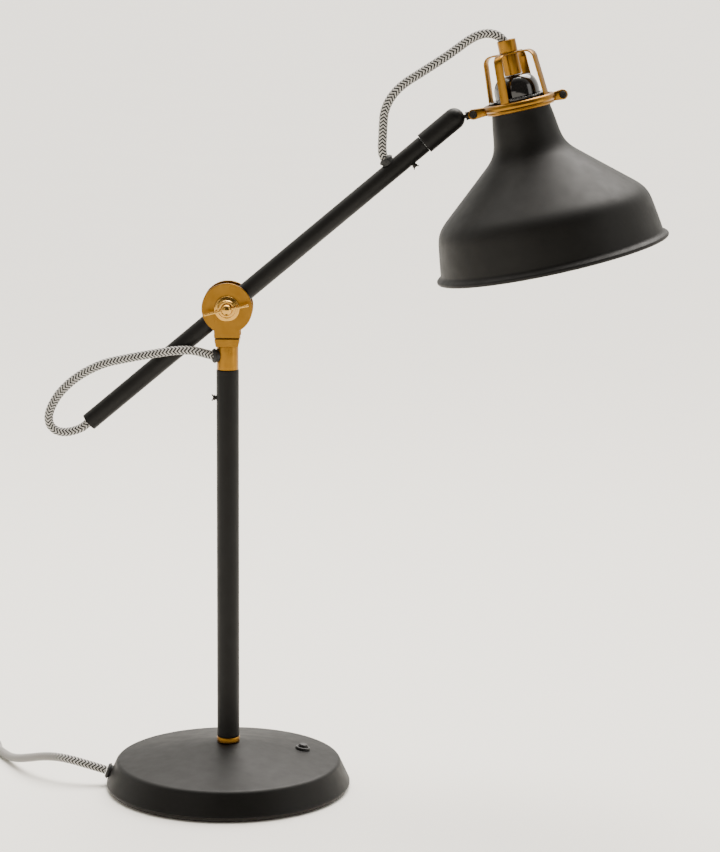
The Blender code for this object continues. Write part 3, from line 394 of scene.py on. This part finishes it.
def coilLine():
    # four turns run inwards on the floor, the innermost climbs, three run outwards on top of them; a turn
    # moves over in the last fifth of it below and in its middle above, so that none touch. Each point is the
    # centre plus the lane's radius times the turn's cosine and sine, and moves and climbs follow 3t^2 - 2t^3
    cx, cy = coil["centre"]
    out, second, third, inner = coil["lanes"]
    low, high = coil["lower"], coil["upper"]
    turns = [(out, second, low, 0), (second, third, low, 0), (third, inner, low, 0), (inner, inner, low, 1),
             (inner, third, high, 0), (third, second, high, 0), (second, out, high, 0)]
    pieces = []
    level = 0
    t = np.linspace(0, 1, 60, endpoint=False)
    for radius, following, moves, rise in turns:
        over = np.clip((t - moves) / coil["over"], 0, 1)
        climb = np.clip((t - coil["climb"]) / coil["over"], 0, 1)
        over, climb = over * over * (3 - 2 * over), climb * climb * (3 - 2 * climb)
        r = radius + (following - radius) * over
        turn = math.radians(coil["start"]) + 2 * np.pi * t
        z = coil["floor"] + coil["pitch"] * (level + rise * climb)
        pieces.append(np.stack([cx + r * np.cos(turn), cy + r * np.sin(turn), z], 1))
        level += rise
    return np.vstack(pieces)


def mainsCord():
    turns = coilLine()
    arrive = smoothLine([*mainsRoute, turns[0]], 160)[0][:-1]
    leave = smoothLine([turns[-1], *tailRoute], 60)[0][1:]
    rough = np.vstack([arrive, turns, leave])
    for _ in range(6):  # eases the joins between the stretches
        rough[1:-1] = 0.25 * rough[:-2] + 0.5 * rough[1:-1] + 0.25 * rough[2:]
    obj, line, length = cordTube("mainsBraid", rough)
    register(obj, "root", ["mains_cord", "mains_coil", "mains_tail"])
    print("mains cord", round(length, 3), "m")


# where the loops leave their grommets, in m, and how far down the arm the rear one ends, in mm
loopEnds = {"rear": (-0.0093, -0.0023, 0.2964), "front": (0.1031, 0, 0.4277), "joined": (0.1377, 0, 0.4907),
            "top": (0.1787, 0, 0.5055), "tail": -120.5}


def makeLoops():
    tail = tuple(armFrame @ Vector((loopEnds["tail"] * mm, 0, 0)) / mm)
    loopCord("rearLoopBraid", [*rearLoop, tail], ["rear_loop_cord"])
    loopCord("frontLoopLowerBraid", frontLoopLower, ["front_loop_lower"])
    loopCord("frontLoopUpperBraid", frontLoopUpper, ["front_loop_upper"])
    print("cord loops made")


makeLoops()
mainsCord()


# Finishes
def powderCoatedSteel():
    # black polyester powder on steel: matt with a silky glaze at low angles and a faint orange peel
    mat, shader = startMaterial("powder-coated steel", Roughness=0.5, Specular_IOR_Level=0.2)
    coords = objectCoords(mat)
    tone = mixColour(mat, noiseOf(mat, coords, 40, 3), hexColour("#0a0908"), hexColour("#0d0c0a"))
    feed(mat, shader, Base_Color=tone, Roughness=ramp(mat, noiseOf(mat, coords, 9, 3), 0.46, 0.54))
    bumpOf(mat, shader, noiseOf(mat, coords, 0.9, 1), 0.006, 0.3)
    return mat


def brassPlated():
    # satin brass under lacquer: warm, softly brushed, with slightly uneven depth of colour
    mat, shader = startMaterial("brass-plated steel", Metallic=1.0, Roughness=0.33)
    coords = objectCoords(mat)
    tone = mixColour(mat, noiseOf(mat, coords, 7, 3), hexColour("#7f571a"), hexColour("#926a28"))
    feed(mat, shader, Base_Color=tone, Roughness=ramp(mat, noiseOf(mat, coords, 3, 3), 0.27, 0.36))
    return mat


def brassPolished():
    # the hand nut and its washer are buffed brighter than the plates
    mat, shader = startMaterial("polished brass", Metallic=1.0, Roughness=0.16)
    coords = objectCoords(mat)
    tone = mixColour(mat, noiseOf(mat, coords, 4, 2), hexColour("#b98c40"), hexColour("#c99c50"))
    feed(mat, shader, Base_Color=tone, Roughness=ramp(mat, noiseOf(mat, coords, 1, 3), 0.12, 0.22))
    return mat


def plainFinish(name, dark, light, sizeMm, low, high, bumpMm=0.0, **values):
    # two close tones that change over a real size in mm, and a roughness between low and high with them
    mat, shader = startMaterial(name, **values)
    coords = objectCoords(mat)
    noise = noiseOf(mat, coords, sizeMm, 3)
    tone = mixColour(mat, noise, hexColour(dark), hexColour(light))
    feed(mat, shader, Base_Color=tone, Roughness=ramp(mat, noise, low, high))
    if bumpMm:
        bumpOf(mat, shader, noise, bumpMm)
    return mat


powder = powderCoatedSteel()
brass = brassPlated()
bright = brassPolished()
# fired glass on the shade's inside: smooth and creamy, it spreads the lamp's light
enamel = plainFinish("white stove enamel", "#e9e6de", "#f1eee7", 20, 0.28, 0.34)
# pressed phenol resin: nearly black, deep gloss with sharp small highlights
bakelite = plainFinish("black bakelite", "#0b0a0a", "#131110", 12, 0.07, 0.12, Coat_Weight=0.4, Coat_Roughness=0.05)
# vulcanised in a mould: dull, a little dusty
rubber = plainFinish("moulded black rubber", "#141414", "#1d1d1d", 0.5, 0.6, 0.75, 0.02)
# moulded with a fine spark texture, drawn at 0.6 mm so that it shows
plastic = plainFinish("black ABS", "#121213", "#19191a", 0.6, 0.4, 0.5, 0.012)
# oxide-dipped steel: dark with a brown cast and an oily glint
blackened = plainFinish("blackened steel screw", "#141312", "#26231f", 0.9, 0.3, 0.45, 0.01, Metallic=0.7)
# electroplated and clear: cool, softly mirrored
zinc = plainFinish("zinc-plated steel", "#a9acb0", "#c3c5c6", 6, 0.25, 0.4, Metallic=1.0)
# sand-cast and left rough, with grains of 1.5 mm
iron = plainFinish("raw cast iron", "#2b2a29", "#3b3937", 1.5, 0.6, 0.8, 0.08, Metallic=0.6)
# needled wool: takes all light, with a little fuzz at low angles
felt = plainFinish("pressed wool felt", "#151515", "#2a2a2a", 0.4, 0.9, 1.0, 0.15, Sheen_Weight=0.3)
# turned from rod: milky, with a soft light inside
nylon = plainFinish("natural nylon", "#dcd8cc", "#e7e4da", 3, 0.4, 0.5, Subsurface_Weight=0.05)
# blown and flashed white: a smooth warm white with a clear gloss
opal = plainFinish("opal glass", "#f3f1ec", "#faf8f4", 30, 0.12, 0.16, Coat_Weight=0.3)

carriedOver = {
    "cast_iron": iron, "zinc_steel": zinc, "nylon": nylon, "black_rubber": rubber, "black_plastic": plastic,
    "black_screw": blackened, "bakelite": bakelite, "felt": felt, "brass": brass, "black_powder_coat": powder,
    "white_glass": opal, "textile_cord": cotton,
}
shadowLineFinish = {"base_plate": blackened}  # painted shade: the bottom plate is made dark so that its edge stands in for the shadow line in the gap under the cover
for entry in frame["record"]["subparts"]:
    cadNode = nodes[entry["node"]]
    for materialSlot in cadNode.material_slots:
        materialSlot.material = shadowLineFinish.get(entry["node"], carriedOver[entry["material_slot"]])
print("finishes made")


# Base and post, in mm from the floor and the post's axis
base = {
    "shoulder": (72.9, 15.6, 4.0),  # radius and height of the arc's centre, its own radius
    "rim": (82.7, 2.9), "skirtTop": 3.9, "crown": [(14.0, 30.2), (7.8, 31.0), (5.0, 31.0)], "wall": 1.0,
    "post": (7.5, 35.4, 286.8), "footRing": (7.8, 31.3, 35.1), "ferrule": (7.2, 287.1, 303.0),  # radius, from, to
}


def offsetLine(line, distance):
    # the line moved sideways: each point plus the distance along the slope turned to its right
    line = np.array(line, float)
    slope = np.gradient(line, axis=0)
    slope /= np.linalg.norm(slope, axis=1)[:, None]
    return line + distance * np.stack([slope[:, 1], -slope[:, 0]], 1)


def shellPiece(name, outer, wall, material, place, body, stands, corner=0.25, segments=160):
    # an outer line and the same line one wall further in, turned a full circle
    inner = offsetLine(outer, wall)[::-1]
    return turnedPiece(name, [*map(tuple, outer), *map(tuple, inner)], material, place, body, stands,
                       corner, segments)


def arcPoints(centre, radius, start, end, steps):
    angle = np.radians(np.linspace(start, end, steps))
    return [(centre[0] + radius * math.cos(a), centre[1] + radius * math.sin(a)) for a in angle]


def makeBase():
    cx, cz, radius = base["shoulder"]
    shoulder = arcPoints((cx, cz), radius, 15, 80, 9)
    outer = [base["rim"], (base["rim"][0], base["skirtTop"]), *shoulder, *base["crown"]]
    shellPiece("coverShell", outer, -base["wall"], powder, upright, "root", ["base_cover"])
    solids = [("footRingBrass", "footRing", brass, "foot_ring", "brass", 0.8),
              ("postTube", "post", powder, "post_tube", "black_powder_coat", 0.35),
              ("ferruleBrass", "ferrule", brass, "ferrule", "brass", 0.35)]
    for name, key, material, node, slotName, corner in solids:
        r, low, high = base[key]
        profile = [(0, low), (r, low), (r, high), (0, high)]
        turnedPiece(name, profile, material, upright, "root", [node], corner, 64, closed=False)
    print("base and post made")


makeBase()


# Pivot, in mm
fork = {"disc": 16.8, "neck": 8.6, "plate": (7.3, 8.9), "gap": 0.3, "centre": 328.7,
        "block": (303.3, 308.6), "blockHalf": (7.4, 8.2), "blockStep": 1.4, "depth": 10.1}
cupWasher = [(2.35, 9.2), (8.5, 9.2), (8.5, 10.4), (7.7, 11), (6.1, 11.2), (5.3, 12.4), (2.35, 12.4)]
wingNut = {"turn": 12.7, "foot": 12.7, "half": 0.7,
           "boss": [(0, 0), (4, 0), (4, 2.4), (3.4, 4.6), (2, 5.9), (0, 6.4)],
           "wing": [(3, 2.2), (13.4, 3.6), (15, 4.4), (15, 6.0), (12.6, 6.2), (3, 4.4)]}


def platePiece(name, outline, low, high, material, place, body=None, stands=None, bevel=0.25):
    # a flat outline in mm drawn up from one height to another, its edges rolled by a bevel
    outline = np.array(outline, float)
    rows = [np.column_stack([outline, np.full(len(outline), z)]) for z in (low, high)]
    obj = gridMesh(name, toWorld(np.array(rows) * mm, place), material, caps=True, sharp=35)
    modifier = obj.modifiers.new("edges", "BEVEL")
    modifier.width = bevel * mm
    modifier.segments = 3
    modifier.limit_method = "ANGLE"
    modifier.angle_limit = math.radians(35)
    modifier.harden_normals = True
    return register(obj, body, stands)


def joinPieces(first, *others):
    # one mesh from several closed ones, modifiers applied as they stand
    bpy.context.view_layer.update()
    graph = bpy.context.evaluated_depsgraph_get()
    bm = bmesh.new()
    for obj in (first, *others):
        bm.from_mesh(obj.evaluated_get(graph).to_mesh())
    first.modifiers.clear()
    bm.to_mesh(first.data)
    bm.free()
    for obj in others:
        bpy.data.objects.remove(obj)
    first.data.set_sharp_from_angle(angle=math.radians(50))
    return first


def makePivot():
    low, high = fork["blockHalf"]
    z0, z1 = fork["block"]
    centre = fork["centre"]
    step = z1 - fork["blockStep"]
    outline = [(-low, z0), (low, z0), (high, step), (high, z1), (-high, z1), (-high, step)]
    platePiece("forkBlockBrass", outline, -fork["depth"], fork["depth"], brass, toFront, "root", ["fork_block"],
               0.35)
    neckAngle = math.degrees(math.asin(fork["neck"] / fork["disc"]))
    disc = arcPoints((0, centre), fork["disc"], -90 + neckAngle, 270 - neckAngle, 96)
    disc += [(-fork["neck"], z1 + fork["gap"]), (fork["neck"], z1 + fork["gap"])]
    near, far = fork["plate"]
    platePiece("forkPlateFront", disc, near, far, brass, toFront, "root", ["fork_plate_front"], 0.4)
    platePiece("forkPlateRear", disc, -far, -near, brass, toFront, "root", ["fork_plate_rear"], 0.4)
    face = Matrix.Translation(pivot) @ toFront
    turnedPiece("cupWasherBrass", cupWasher, bright, face, "root", ["cup_washer"], 0.45, 96)
    nutTurn = Matrix.Rotation(math.radians(wingNut["turn"]), 4, "Z")
    nut = face @ nutTurn @ Matrix.Translation((0, 0, wingNut["foot"] * mm))
    boss = turnedPiece("wingNut", wingNut["boss"], bright, nut, corner=0.8, segments=64, closed=False)
    flat = nut @ Matrix.Rotation(math.pi / 2, 4, "X")
    wings = [platePiece(f"wing{i}", [(side * x, z) for x, z in wingNut["wing"]][::side], -wingNut["half"],
                        wingNut["half"], bright, flat, bevel=0.3) for i, side in enumerate((1, -1))]
    register(joinPieces(boss, *wings), "wing_nut", ["wing_nut"])
    print("pivot made")


makePivot()


# Arm and swivel sleeve, in mm along the arm from the pivot
armSizes = {"radius": 5.9, "wall": 0.8, "tail": -121.0, "end": 168.3, "grommet": 142.5}
sleeveSizes = {"radius": 7.15, "wall": 0.9, "start": 168.6, "ball": 193.8, "slot": 1.5, "bevel": 0.2,
               "slotFrom": -78.0, "slotTo": 17.0}  # the slot's half width, and its ends in degrees over the nose


def makeArmTube():
    r, wall = armSizes["radius"], armSizes["wall"]
    low, high = armSizes["tail"], armSizes["end"]
    profile = [(r, low), (r, high), (r - wall, high), (r - wall, low)]
    turnedPiece("armTube", profile, powder, armAlong, "arm", ["arm_tube"], 0.3, 64)


def makeSleeve():
    # half a ball, whose point at a sidewise angle a and a lengthwise angle u is (cos a cos u, sin a, cos a sin u)
    # times the radius, left open along its slot; then its rim drawn back along the arm as a tube
    radius, at, half = sleeveSizes["radius"], sleeveSizes["ball"], 12
    slotFrom, slotTo = sleeveSizes["slotFrom"], sleeveSizes["slotTo"]
    edge = math.degrees(math.asin(sleeveSizes["slot"] / radius))
    across = np.radians([*np.linspace(-90, -edge, half), *np.linspace(edge, 90, half)])
    before, inSlot = np.linspace(-90, slotFrom, 4), np.linspace(slotFrom, slotTo, 10)
    turn = np.radians([*before, *inSlot[1:], *np.linspace(slotTo, 90, 11)[1:]])
    slotRows = range(len(before) - 1, len(before) + len(inSlot) - 2)
    nose = [[(at + radius * math.cos(a) * math.cos(u), radius * math.sin(a), radius * math.cos(a) * math.sin(u))
             for a in across] for u in turn]
    columns = len(across)
    rim = nose[0] + nose[-1][-2:0:-1]
    lengths = np.linspace(sleeveSizes["start"], at, 12)
    tube = [[(x, y, z) for _, y, z in rim] for x in lengths]
    points = [p for row in nose + tube for p in row]
    faces = []
    for i in range(len(turn) - 1):
        low, high = i * columns, (i + 1) * columns
        faces += [(low + j, low + j + 1, high + j + 1, high + j) for j in range(columns - 1)
                  if not (i in slotRows and j == half - 1)]
    ring = len(rim)
    for i in range(len(lengths) - 1):
        low = columns * len(turn) + i * ring
        faces += [(low + j, low + (j + 1) % ring, low + ring + (j + 1) % ring, low + ring + j) for j in range(ring)]
    mesh = bpy.data.meshes.new("sleeveNose")
    mesh.from_pydata(toWorld(np.array(points) * mm, armFrame).tolist(), [], faces)
    tidyMesh(mesh, 40)
    obj = placeMesh("sleeveShell", mesh, powder)
    thick = obj.modifiers.new("wall", "SOLIDIFY")
    thick.thickness = sleeveSizes["wall"] * mm
    thick.offset = -1
    bevel = obj.modifiers.new("edges", "BEVEL")
    bevel.width = sleeveSizes["bevel"] * mm
    bevel.segments = 2
    bevel.limit_method = "ANGLE"
    bevel.angle_limit = math.radians(50)
    register(obj, "sleeve", ["swivel_sleeve"])


makeArmTube()
makeSleeve()
print("arm made")


# Grommets, in mm
lip = {"flange": 4.9, "bore": 3.15, "height": 2.2, "sunk": 2.6, "wall": 1.1}
baseLip = {**lip, "flange": 5.4, "bore": 3.3}
grommetSpots = {"baseHeight": 9.5, "baseOut": 80.9, "baseLean": -19.15, "ferruleHeight": 296.4, "ferruleTurn": 194.0}


def grommetPiece(name, place, body, node, sizes):
    # a rubber lip with rounded edges round the cord
    bore, flange, height = sizes["bore"], sizes["flange"], sizes["height"]
    sleeve = bore + sizes["wall"]
    profile = [(bore, -sizes["sunk"]), (bore, height), (flange - 1.0, height), (flange, 0.5 * height), (flange, 0.1),
               (sleeve, 0.1), (sleeve, -sizes["sunk"])]
    turnedPiece(name, profile, rubber, place, body, [node], 0.7, 48)


def radialPlace(z, degrees, distance):
    # a frame at a height and a distance from the post's axis, its Z pointing outwards
    turn = Matrix.Rotation(math.radians(degrees), 4, "Z")
    return Matrix.Translation((0, 0, z * mm)) @ turn @ Matrix.Translation((distance * mm, 0, 0)) @ toX


lean = Matrix.Rotation(math.radians(grommetSpots["baseLean"]), 4, "Y")
basePlace = radialPlace(grommetSpots["baseHeight"], 180, grommetSpots["baseOut"]) @ lean
ferrulePlace = radialPlace(grommetSpots["ferruleHeight"], grommetSpots["ferruleTurn"], base["ferrule"][0] + 0.9)
armPlace = armFrame @ Matrix.Translation((armSizes["grommet"] * mm, 0, (armSizes["radius"] + lip["wall"]) * mm))
grommetPiece("baseGrommet", basePlace, "root", "base_grommet", baseLip)
grommetPiece("ferruleGrommet", ferrulePlace, "root", "ferrule_grommet", lip)
grommetPiece("armGrommet", armPlace, "arm", "arm_grommet", lip)
print("grommets made")


# Switch, in mm
switch = {
    "at": (50.5, 7.5, 24.46), "slope": 0.165,  # on the cover, which falls away by this much
    "bezel": [(3.45, -2), (3.45, 1), (4.7, 1), (5, 0.6), (5, -2)],
    "button": [(0, -3), (3.1, -3), (3.1, 2.4), (2.6, 2.95), (0, 3.0)],
}


def makeSwitch():
    at = Vector(switch["at"])
    lean = Matrix.Rotation(math.atan(switch["slope"]), 4, Vector((-at.y, at.x, 0)))
    place = Matrix.Translation(at * mm) @ lean
    turnedPiece("switchBezel", switch["bezel"], plastic, place, "root", ["switch_bezel"], 0.4, 64)
    turnedPiece("switchButton", switch["button"], plastic, place, "switch_button", ["switch_button"],
                0.5, 64, closed=False)
    print("switch made")


makeSwitch()


# Shade and its fittings, as (radius, height) in mm on the head's axis, from the rim up
head = {
    "outer": [(19.3, 108.6), (19.3, 101.2), (20.6, 94), (21.7, 86), (22.7, 80), (24.9, 74.6), (28.3, 70.4),
              (32.9, 66.4), (42.7, 57.8), (62.5, 40.7), (67.1, 36.4), (70.1, 32), (71.3, 28), (73.1, 17),
              (74.7, 5.4)],
    "rim": [(76.9, 3.7), (77.9, 2.8), (77.9, 1.3), (76.9, 0.4), (73.9, 1.0)], "wall": 0.8, "enamelFrom": 4.5,
    "neckCap": [(15.0, 108.9), (18.9, 108.9), (18.9, 110.1), (15.0, 110.1)],
    "stem": [(3.4, 124.6), (5.7, 124.6), (5.7, 137.8), (4.4, 137.8), (4.4, 141.5), (3.4, 141.5)],
    "stemCollar": [(4.7, 139.4), (6.1, 139.4), (6.1, 147.4), (5.3, 147.4), (5.3, 141.8), (4.7, 141.8)],
    "holder": [(0, 94), (7.6, 94), (7.6, 74), (13.6, 74), (13.6, 110.0), (0, 110.0)],
    "dome": {"radius": 14.7, "foot": 110.3, "shoulder": 113.3, "top": 124.3, "bore": 5.5, "squareness": 0.8},
    "globe": {"radius": 22.5, "centre": 40.0, "neck": [(8.4, 63.0), (6.9, 65.7), (0, 65.7)]},
    "ringMiddle": 105.0, "ringBore": 20.9, "split": 1.3, "ears": (31.1, 28.7), "ear": (3.3, 1.7),
    "ringSection": [(0, -3.3), (1.5, -3.3), (2.1, -2.2), (1.8, -1.6), (3.1, -0.4), (3.3, 1.0), (2.5, 2.7),
                    (1.3, 3.3), (0, 3.3), (0, -3.3)],
}


def headTurned(name, profile, material, node, corner=0.3, segments=96, closed=True):
    return turnedPiece(name, profile, material, headFrame, "head", [node], corner, segments, closed)


def domeLine(sizes):
    # from the bore out to the side and up over the top: the radius follows the cosine to a power a little
    # under one, which fills the shoulder, and the height follows the sine
    reach, rise = sizes["radius"] - sizes["bore"], sizes["top"] - sizes["shoulder"]
    angle = np.radians(np.linspace(8, 88, 14))
    over = [(sizes["bore"] + reach * math.cos(a) ** sizes["squareness"], sizes["shoulder"] + rise * math.sin(a))
            for a in angle]
    return [(0, sizes["foot"]), (sizes["radius"], sizes["foot"]), (sizes["radius"], sizes["shoulder"]), *over,
            (0, sizes["top"])]


def globeLine(sizes):
    # a ball from its lowest point round to its neck
    angle = np.radians(np.linspace(0, 145, 40))
    return [*[(sizes["radius"] * math.sin(t), sizes["centre"] - sizes["radius"] * math.cos(t)) for t in angle],
            *sizes["neck"]]


def makeShade():
    # the spinning's line eased by repeated averaging, so that it has no facets
    outer = smoothLine(head["outer"], 120)[0]
    for _ in range(12):
        outer[1:-1] = 0.25 * outer[:-2] + 0.5 * outer[1:-1] + 0.25 * outer[2:]
    inner = offsetLine(outer, head["wall"])[::-1]
    rim = rounded([tuple(outer[-1]), *head["rim"], tuple(inner[0])], 0.9, 4)[1:-1]
    profile = [*map(tuple, outer), *map(tuple, rim), *map(tuple, inner)]
    obj = headTurned("shadeShell", profile, powder, "shade", 0, 192)
    obj.data.materials.append(enamel)
    # the faces that look inwards or down, above the rim, are enamelled
    axis = np.array(headFrame)
    back = np.linalg.inv(axis)
    for polygon in obj.data.polygons:
        local = back @ np.array([*polygon.center, 1.0])
        normal = axis[:3, :3].T @ np.array(polygon.normal)
        facing = (local[0] * normal[0] + local[1] * normal[1]) / max(math.hypot(local[0], local[1]), 1e-6)
        if facing + normal[2] < 0 and local[2] > head["enamelFrom"] * mm:
            polygon.material_index = 1
    return obj


shadeObj = makeShade()
headTurned("neckCap", head["neckCap"], bakelite, "neck_cap")
headTurned("bakeliteDome", domeLine(head["dome"]), bakelite, "lampholder_dome", closed=False)
headTurned("stemTube", head["stem"], brass, "stem_tube", 0.3, 64)
headTurned("stemCollar", head["stemCollar"], brass, "stem_collar", 0.35, 64)
headTurned("lampholderBody", head["holder"], bakelite, "lampholder_body", 0.3, 64, False)
headTurned("bulbOpal", globeLine(head["globe"]), opal, "bulb_glass", 0.4, closed=False)
print("shade made")


# Collar and strap cage, in mm
cage = {"hubRadius": 8.0, "hubBore": 4.7, "hubFrom": 138.1, "hubTo": 139.1, "top": 18.6, "foot": 20.6, "bend": 6.0,
        "width": 5.8, "thick": 1.0, "turn": -29.5, "knee": 110.1, "footEnd": 102.5, "inside": 5.0}
ringMiddle = headFrame @ Matrix.Translation((0, 0, head["ringMiddle"] * mm))


def makeCollar(name, side, node):
    # the ring's section follows an arc that stops short of the split; an ear at each end takes a screw
    line = rounded([(0, 0), *head["ringSection"], (0, 0)], 0.28, 3)[1:-1]
    gap = math.asin(head["split"] / head["ringBore"])
    steps = 72
    angle = np.linspace(gap, np.pi - gap, steps)[:, None] * side
    radius = (head["ringBore"] + line[:, 0])[None, :]
    height = np.repeat(line[None, :, 1], steps, 0)
    grid = np.stack([radius * np.cos(angle), radius * np.sin(angle), height], -1)
    ring = gridMesh(name, toWorld(grid * mm, ringMiddle), brass, caps=True)
    r, thick = head["ear"]
    ears = []
    for way, at in zip((-1, 1), head["ears"]):
        start, end = (90, 270) if way < 0 else (-90, 90)
        root = -way * (at - head["ringBore"] - 1.2)
        corners = [(root, 0.8 * r), (root, -0.8 * r)]
        outline = arcPoints((0, 0), r, start, end, 24) + (corners[::-1] if way < 0 else corners)
        place = headFrame @ Matrix.Translation((way * at * mm, 0, head["ringMiddle"] * mm)) @ toFront
        low, high = sorted((-side * head["split"], -side * (head["split"] + thick)))
        ears.append(platePiece(f"{name}Ear{way}", outline, low, high, brass, place, bevel=0.3))
    register(joinPieces(ring, *ears), "head", [node])


def makeCage():
    # a flat hub, and four straps that leave it, bend over and run down to the collar
    bend, top, low, high = cage["bend"], cage["top"], cage["hubFrom"], cage["hubTo"]
    outer = [(cage["inside"], high), *arcPoints((top - bend, high - bend), bend, 90, 0, 16),
             (cage["foot"], cage["knee"]), (cage["foot"], cage["footEnd"])]
    inner = offsetLine(outer, cage["thick"])
    outline = [*outer, *map(tuple, inner[::-1])]
    profile = [(cage["hubBore"], low), (cage["hubRadius"], low), (cage["hubRadius"], high), (cage["hubBore"], high)]
    hub = turnedPiece("strapCage", profile, brass, headFrame, corner=0.25, segments=64)
    half = cage["width"] / 2
    straps = []
    for i in range(4):
        turn = Matrix.Rotation(math.radians(90 * i + cage["turn"]), 4, "Z") @ toFront
        straps.append(platePiece(f"strap{i}", outline, -half, half, brass, headFrame @ turn, bevel=0.22))
    register(joinPieces(hub, *straps), "head", ["strap_cage"])


makeCollar("collarFront", -1, "collar_front")
makeCollar("collarRear", 1, "collar_rear")
makeCage()
print("collar and cage made")


# Studio: a pale floor, a broad soft light above and behind, a smaller one in front
studio = {
    "world": "#f4f0e8", "worldStrength": 1.45, "front": 0.1, "floorSize": 150.0,
    "sun": 6.0, "sunSoftness": 50, "sunColour": "#fffaf4", "sunWay": (-0.25, -0.5, -1.0),
    # each area light: place and aim in m, size in m, watts, colour
    "overhead": ((-0.1, 0.5, 1.5), (0.0, 0.0, 0.15), (1.4, 1.0), 16, "#fffaf2"),
    "front light": ((-1.1, -1.3, 0.9), (0.05, 0, 0.25), (0.7, 1.1), 4, "#fff8ee"),
    "right light": ((1.3, -0.5, 0.6), (0.05, 0, 0.25), (0.4, 1.2), 3, "#fffdf8"),
}


def areaLight(name, place, aim, size, watts, colour):
    data = bpy.data.lights.new(name, "AREA")
    data.shape = "RECTANGLE"
    data.size, data.size_y = size
    data.energy = watts
    data.color = hexColour(colour)[:3]
    obj = bpy.data.objects.new(name, data)
    bpy.context.scene.collection.objects.link(obj)
    direction = Vector(aim) - Vector(place)
    obj.matrix_world = Matrix.Translation(place) @ direction.to_track_quat("-Z", "Y").to_matrix().to_4x4()


def makeStudio():
    side = studio["floorSize"]
    mesh = bpy.data.meshes.new("floor")
    mesh.from_pydata([(-side, -side, 0), (side, -side, 0), (side, side, 0), (-side, side, 0)], [], [(0, 1, 2, 3)])
    # painted board: matt, with clouds of 300 mm that hardly show
    mat, shader = startMaterial("pale matt floor", Roughness=0.75)
    clouds = noiseOf(mat, objectCoords(mat), 300, 2)
    feed(mat, shader, Base_Color=mixColour(mat, clouds, hexColour("#f8f5ee"), hexColour("#fbf8f1")))
    floor = placeMesh("floor", mesh, mat)
    world = bpy.data.worlds.new("studio")
    bpy.context.scene.world = world
    world.use_nodes = True
    background = world.node_tree.nodes["Background"]
    # bright behind the lamp and above, dim in front, as in a studio with one white wall
    way = addNode(world, "ShaderNodeSeparateXYZ", Vector=addNode(world, "ShaderNodeTexCoord").outputs["Generated"])
    level = ramp(world, way.outputs[1], studio["front"] * studio["worldStrength"], studio["worldStrength"], -0.5, 0.3)
    feed(world, background, Strength=level)
    background.inputs["Color"].default_value = hexColour(studio["world"])
    sun = bpy.data.lights.new("softSun", "SUN")
    sun.energy = studio["sun"]
    sun.angle = math.radians(studio["sunSoftness"])
    sun.color = hexColour(studio["sunColour"])[:3]
    sunObj = bpy.data.objects.new("softSun", sun)
    bpy.context.scene.collection.objects.link(sunObj)
    sunObj.matrix_world = Vector(studio["sunWay"]).to_track_quat("-Z", "Y").to_matrix().to_4x4()
    for name in ("overhead", "front light", "right light"):
        areaLight(name, *studio[name])
    print("studio made")


makeStudio()
